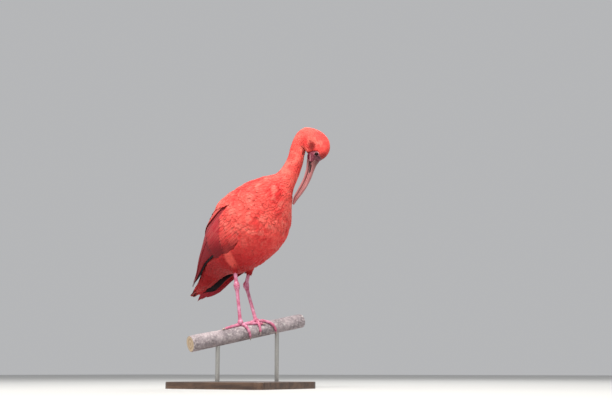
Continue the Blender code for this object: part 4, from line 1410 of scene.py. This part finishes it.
def make_tail(vane, finish):
    """Twelve tail feathers, six to each side, the outer ones lower."""
    hide = Hide("tail_guide", lambda s, out: tail_point(s, out, 0.0), (-0.9, 1.7), (-24, 24), (90, 60))
    draw = np.random.default_rng(SEED + 90)
    rows = []
    for side in (1, -1):
        for k in range(6):
            out = 1.6 + 2.5 * k
            root, tip = (0.95, side * out * 0.8), (-0.5 + 0.02 * k * k, side * out)
            lifts = (-2.2 - 0.25 * k, 0.6 - 0.75 * k)
            ends = (root, root, 0), (tip, tip, 0)
            rows.append(tier(hide, draw, 1, *ends, 10.5, lifts, 0.25, camber=0.3, roll=side * 0.5))
    return lay("tail_feathers", hide, vane, finish, stacked(rows), 0.0)


# Bill, eyes, legs, perch

def make_mandible(name, near, far, finish, nostrils):
    """One half of the bill, between two shares of its depth. The upper one has the nostrils' grooves."""
    rings, marks = [], []
    count, sides = 110, 64
    for i in range(count):
        r = mix(0.03, 6.98, i / (count - 1))
        outer_reach, outer_height, inner_reach, inner_height, width = spline(BILL, r)
        part = (
            mix(outer_reach, inner_reach, near), mix(outer_height, inner_height, near),
            mix(outer_reach, inner_reach, far), mix(outer_height, inner_height, far), width,
        )
        centre = head_point(mix(part[0], part[2], 0.5), mix(part[1], part[3], 0.5))
        ridge = mix(124, 104, between(r, 0.8, 2.8))
        deep = between(r, 0.9, 1.2) * (1 - between(r, 2.15, 2.55))
        ring = []
        for k in range(sides):
            angle = 360 * k / sides
            point = oval_point(part, angle, 0.86)
            groove = 0.0
            if nostrils:
                line = math.exp(-((min(angle, 360 - angle) - ridge) / mix(6.0, 21.0, deep)) ** 2)
                line *= between(r, 0.3, 0.7) * (1 - between(r, 5.4, 6.7))
                point = point + (centre - point).normalized() * line * (0.3 + 1.6 * deep)
                groove = min(line * (0.7 + 1.5 * deep), 1.0)
            ring.append(point)
            marks += [r / 7, k / sides, groove]
        rings.append(ring)
    made = new_object(name, loft(name, rings), finish)
    mark(made.data, "bill", marks)
    return made


def make_eye(name, side, finish):
    forward, left = head_axes()
    out = (left * side + forward * 0.12).normalized()
    across = out.cross(Vector((0, 0, 1))).normalized()
    centre = head_point(EYE_REACH, EYE_HEIGHT, side * EYE_OUT)
    axes = (across * EYE_RADIUS, out.cross(across) * EYE_RADIUS, out * EYE_RADIUS)
    points, faces = ball_shape(centre, axes, 40, 28)
    eye = new_object(name, mesh_of(name, points, faces), finish)
    away = [math.acos(max(-1, min(1, (p - centre).normalized().dot(out)))) for p in points]
    mark(eye.data, "iris", away, wide=False)
    return eye


def make_lids(finish):
    """Bare wrinkled rims round both eyes, a heavier one above."""
    shapes, tones = [], []
    around, sides = 64, 14
    total = around * sides
    for side in (1, -1):
        points, faces = [], []
        for k, turn in enumerate(turns(around)):
            above = between(math.sin(turn), -0.5, 0.4)
            thick = LID_THICKNESS * mix(0.45, 0.78, above)
            wrinkle = 1 + 0.06 * math.sin(turn * 17)
            tones += (1.0, 0.05 + 0.5 * above, 0.0) * sides
            for j, swing in enumerate(turns(sides)):
                radius = LID_RADIUS + 0.15 + thick * math.cos(swing) * wrinkle
                out = LID_OUT - 0.55 + thick * math.sin(swing) * wrinkle
                reach = EYE_REACH + radius * math.cos(turn) * 1.02
                points.append(head_point(reach, EYE_HEIGHT + 0.84 * radius * math.sin(turn), side * out))
                a, b = k * sides + j, k * sides + (j + 1) % sides
                faces.append((a, b, (b + sides) % total, (a + sides) % total))
        shapes.append((points, faces))
    made = new_object("eyelids", joined("eyelids", shapes), finish)
    mark(made.data, "face", tones)
    return made


def scale_line(turn, row):
    """How near a place is to a line between scales, and how far down its own scale it lies."""
    column = turn / (2 * math.pi) * 8
    down = (row + 0.5 * (int(column) % 2)) % 1.0
    line = 1 - between(min(down, 1 - down), 0.0, 0.16)
    side_line = 1 - between(min(column % 1.0, 1 - column % 1.0), 0.0, 0.12)
    return max(line, side_line * 0.7), down


def scale_rings(path, sizes, count, pitch, depth, up):
    """A tube with overlapping scales, and a mark on the lines between them."""
    travelled = 0.0
    radii, marks = [], []
    for i, size in enumerate(sizes):
        if i:
            travelled += (path[i] - path[i - 1]).length
        row = travelled / pitch

        def radius(turn, size=size, row=row):
            groove, down = scale_line(turn, row)
            return size * (1 - depth * groove) + 0.02 * down

        radii.append(radius)
        marks += [scale_line(turn, row)[0] for turn in turns(count)]
    rings = tube(path, radii, count, up=up)
    for ring, size in zip(rings, sizes):
        centre = sum(ring, Vector()) / count
        warts = between(size, 4.2, 5.4) * 0.55
        if warts:
            ring[:] = [p + (p - centre).normalized() * warts * noise.noise(p * 0.55) for p in ring]
    return rings, marks


def scaled_piece(name, strands, finish):
    points, faces, marks = [], [], []
    for rings, some in strands:
        first = len(points)
        points += [p for ring in rings for p in ring]
        faces += ring_faces(len(rings), len(rings[0]), first)
        marks += some
    made = new_object(name, mesh_of(name, points, faces), finish)
    mark(made.data, "scale_line", marks, wide=False)
    return made


def make_leg(name, leg, finish):
    """The bare leg from the thigh's end to the foot, thick at the ankle."""
    end, ankle, foot = leg[1:]
    stations = [(end + Vector((0, 0, 4)), SHIN_RADIUS), (end.lerp(ankle, 0.35), SHIN_RADIUS * 0.94)]
    stations.append((end.lerp(ankle, 0.72), SHIN_RADIUS))
    for t, r in ((-0.09, 0.95), (-0.03, 1.14), (0.03, 1.12), (0.08, 1.0), (0.15, 0.74)):
        place = ankle.lerp(foot, t) if t >= 0 else ankle.lerp(end, -t * 1.6)
        stations.append((place, ANKLE_RADIUS * r))
    for t, r in ((0.25, 1.02), (0.5, 1), (0.75, 1), (0.92, 1.1), (1, 1.2)):
        stations.append((ankle.lerp(foot, t), TARSUS_RADIUS * r))
    samples = sampled([(*p, r) for p, r in stations], 150)
    path, sizes = [Vector(row[:3]) for row in samples], [row[3] for row in samples]
    return scaled_piece(name, [scale_rings(path, sizes, 48, 3.4, 0.05, Vector((0, 1, 0)))], finish)


def toe_path(spots, hub, count):
    rows = [hub]
    steps = 2 * (len(spots) - 1)
    for i in range(steps + 1):
        size = mix(TOE_RADIUS, TOE_END_RADIUS, i / steps)
        rows.append(perch_point(*spline(spots, i / 2), size * 0.86))
    return smooth_path(rows, count)


def make_foot(name, leg, toes, finish):
    """Four toes along the perch, each with a swelling at its joints, round a ball under the leg."""
    hub, count = leg[3], 90
    strands = []
    for spots in toes.values():
        sizes = []
        for i in range(count):
            t = i / (count - 1)
            swell = 1 + 0.1 * math.cos(2 * math.pi * (len(spots) - 0.5) * t)
            close = math.sqrt(max(1 - ((t - 0.94) / 0.06) ** 2, 0.02)) if t > 0.94 else 1
            sizes.append(mix(TOE_RADIUS * 1.06, TOE_END_RADIUS, t) * swell * close)
        strands.append(scale_rings(toe_path(spots, hub, count), sizes, 32, 2.2, 0.07, Vector((0, 0, 1))))
    foot = scaled_piece(name, strands, finish)
    axes = [Vector(v) * HUB_RADIUS for v in ((1, 0, 0), (0, 1, 0), (0, 0, 1))]
    points, faces = ball_shape(hub - perch_axes()[2] * 1.5, axes)
    ball = mesh_of("ball", points, faces)
    mark(ball, "scale_line", [0.0] * len(points), wide=False)
    shaped = bmesh.new()
    shaped.from_mesh(foot.data)
    shaped.from_mesh(ball)
    shaped.to_mesh(foot.data)
    shaped.free()
    bpy.data.meshes.remove(ball)
    return foot


def make_claw(name, spots, hub, finish):
    path = toe_path(spots, hub, 60)
    end = path[-1]
    forward = (end - path[-5]).normalized()
    distance, angle = spline(spots, len(spots) - 1)
    away = (end - perch_point(distance, angle, -perch_radius(distance))).normalized()
    line, sizes = [], []
    for i in range(24):
        t = i / 23
        drop = 0.3 * t * t
        line.append(end + forward * (CLAW_LENGTH * t - 1.0) + away * (1.6 * t - drop * 6))
        sizes.append(CLAW_RADIUS * (1 - 0.88 * t ** 1.5))
    return new_object(name, loft(name, tube(line, sizes, 20)), finish)


def make_perch(finish):
    """The cut length of branch: lumpy bark, calmer under the feet, and flat sawn ends."""
    along, side, up = perch_axes()
    rings, marks = [], []
    count, sides = 220, 96
    for i in range(count):
        distance = PERCH_LENGTH * (i / (count - 1) - 0.5)
        rough = mix(1.0, 0.3, 1 - between(abs(distance - 2), 64, 90))
        end = 0.6 * between(abs(distance), PERCH_LENGTH / 2 - 1.2, PERCH_LENGTH / 2)
        ring = []
        for turn in turns(sides):
            out = up * math.cos(turn) + side * math.sin(turn)
            at = Vector((distance * 0.25, math.cos(turn) * 12, math.sin(turn) * 12))
            lumps = noise.noise(at * 0.09) * 1.1
            fine = noise.fractal(at * 0.45, 0.9, 2.0, 4) * 0.35
            radius = perch_radius(distance) + (lumps + fine) * rough - 0.1 - end
            ring.append(PERCH_CENTRE + along * distance + out * radius)
            marks += [distance * MM, radius * MM, 0.0]
        rings.append(ring)
    # rings of both sawn faces, from the rim inwards
    shares = (0.97, 0.75, 0.5, 0.25, 0.06)
    near, far = [
        [[centre.lerp(p, share) for p in ring] for share in shares]
        for ring, centre in ((ring, sum(ring, Vector()) / sides) for ring in (rings[0], rings[-1]))
    ]
    sawn = [[0.0, share * PERCH_RADIUS * MM, 1.0] * sides for share in shares]
    made = new_object("perch_bark", loft("perch_bark", near[::-1] + rings + far), finish)
    made.data.set_sharp_from_angle(angle=math.radians(50))
    mark(made.data, "bark", sum(sawn[::-1], []) + marks + sum(sawn, []))
    return made


# Stage

VIEW_AZIMUTH, VIEW_RISE, VIEW_DISTANCE = math.radians(35), math.radians(10), 2000.0
PHOTO_SIZE, FEET_IN_PHOTO, MM_PER_PIXEL = (612, 408), (248, 324), 2.1
SENSOR = 36.0
LIGHTS = (
    # name, place, height it looks at, size, watts, colour
    ("key", (0.7, -1.1, 2.3), 0.35, 0.9, 84, (1.0, 0.97, 0.92)),
    ("fill", (-1.6, -0.9, 1.3), 0.3, 1.6, 5, (0.92, 0.96, 1.0)),
    ("back", (-0.4, 1.6, 1.9), 0.35, 1.2, 16, (1.0, 1.0, 1.0)),
)


def place_camera():
    """The photo's view, round to the bird's right and looking up a little."""
    right = Vector((math.cos(VIEW_AZIMUTH), math.sin(VIEW_AZIMUTH), 0))
    ahead = Vector((-math.sin(VIEW_AZIMUTH), math.cos(VIEW_AZIMUTH), 0))
    look = ahead * math.cos(VIEW_RISE) + Vector((0, 0, math.sin(VIEW_RISE)))
    across = (PHOTO_SIZE[0] // 2 - FEET_IN_PHOTO[0]) * MM_PER_PIXEL
    above = (FEET_IN_PHOTO[1] - PHOTO_SIZE[1] // 2) * MM_PER_PIXEL / math.cos(VIEW_RISE)
    aim = right * across + Vector((0, 0, above))
    data = bpy.data.cameras.new("camera")
    data.sensor_width = SENSOR
    data.lens = SENSOR * VIEW_DISTANCE / (PHOTO_SIZE[0] * MM_PER_PIXEL)
    data.clip_start = 0.01
    camera = bpy.data.objects.new("camera", data)
    camera.location = (aim - look * VIEW_DISTANCE) * MM + SHIFT
    camera.rotation_euler = look.to_track_quat("-Z", "Y").to_euler()
    bpy.context.scene.collection.objects.link(camera)
    bpy.context.scene.camera = camera


def make_stage():
    """A plain pale floor, three soft lights and a pale grey surrounding."""
    half = 8.0
    corners = [(-half, -half, 0), (half, -half, 0), (half, half, 0), (-half, half, 0)]
    mesh = bpy.data.meshes.new("floor")
    mesh.from_pydata(corners, [], [(0, 1, 2, 3)])
    new_object("floor", mesh, floor_finish())
    world = bpy.data.worlds.new("world")
    bpy.context.scene.world = world
    world.use_nodes = True
    background = world.node_tree.nodes["Background"]
    background.inputs["Color"].default_value = (0.93, 0.94, 0.96, 1)
    background.inputs["Strength"].default_value = 0.50
    for name, place, aim, size, power, colour in LIGHTS:
        data = bpy.data.lights.new(name, "AREA")
        data.shape = "DISK"
        data.size, data.energy, data.color = size, power, colour
        light = bpy.data.objects.new(name, data)
        light.location = place
        light.rotation_euler = (Vector((0, 0, aim)) - Vector(place)).to_track_quat("-Z", "Y").to_euler()
        bpy.context.scene.collection.objects.link(light)
    bpy.context.scene.view_settings.view_transform = "Standard"


def put(thing, slot, *nodes):
    """Gives a piece to the model, in place of the CAD nodes named."""
    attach(thing, "root")
    if nodes:
        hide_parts(*nodes)


def main():
    plumage, wing, skin, horn, wet = (
        make() for make in (plumage_finish, wing_finish, skin_finish, bill_finish, eye_finish)
    )
    leg_skin, claw_horn, bark, board, rod = (
        make() for make in (leg_finish, claw_finish, bark_finish, board_finish, rod_finish)
    )
    vanes = [
        vane_object(f"{name}_vane", outline, columns)
        for name, outline, columns in (("long", LONG, 6), ("middle", MIDDLE, 4), ("small", SMALL, 2))
    ]
    legs = ("right", RIGHT_LEG, RIGHT_TOES), ("left", LEFT_LEG, LEFT_TOES)

    put(make_skin(skin), "plumage", "torso", "neck", "head", "thigh_left", "thigh_right")
    for coat in make_coats(vanes[2], plumage):
        put(coat, "plumage")
    for name, leg, toes in legs:
        put(make_thigh_coat(f"thigh_coat_{name}", leg, vanes[2], plumage), "plumage")
    for side, name in ((-1, "wing_right"), (1, "wing_left")):
        for n, piece in enumerate(make_wing(side, name, (wing, plumage), vanes)):
            put(piece, "wing", *([] if n else [name]))
    put(make_tail(vanes[0], wing), "plumage", "tail")
    put(make_mandible("upper_bill", 0.0, UPPER_BILL_SHARE, horn, True), "bill", "bill_upper")
    mouth = UPPER_BILL_SHARE + MOUTH_LINE
    put(make_mandible("lower_bill", mouth, 1.0, horn, False), "bill", "bill_lower")
    for name, side in (("left", 1), ("right", -1)):
        put(make_eye(f"eyeball_{name}", side, wet), "eye", f"eye_{name}")
    put(make_lids(skin), "plumage")
    for name, leg, toes in legs:
        put(make_leg(f"shank_{name}", leg, leg_skin), "leg_skin", f"leg_{name}")
        put(make_foot(f"toes_{name}", leg, toes, leg_skin), "leg_skin", f"foot_{name}")
        for number, spots in toes.items():
            nail = make_claw(f"nail_{name}_{number}", spots, leg[3], claw_horn)
            put(nail, "claw", f"claw_{name}_{number}")
    put(make_perch(bark), "bark", "perch")

    for node, finish in (("stand_base", board), ("stand_rod_1", rod), ("stand_rod_2", rod)):
        mesh = frame["nodes"][node].data
        mesh.materials.clear()
        mesh.materials.append(finish)

    for guide in [o for o in bpy.data.objects if o.name.endswith(("_guide", "_vane"))]:
        bpy.data.objects.remove(guide)
    make_stage()
    place_camera()


main()
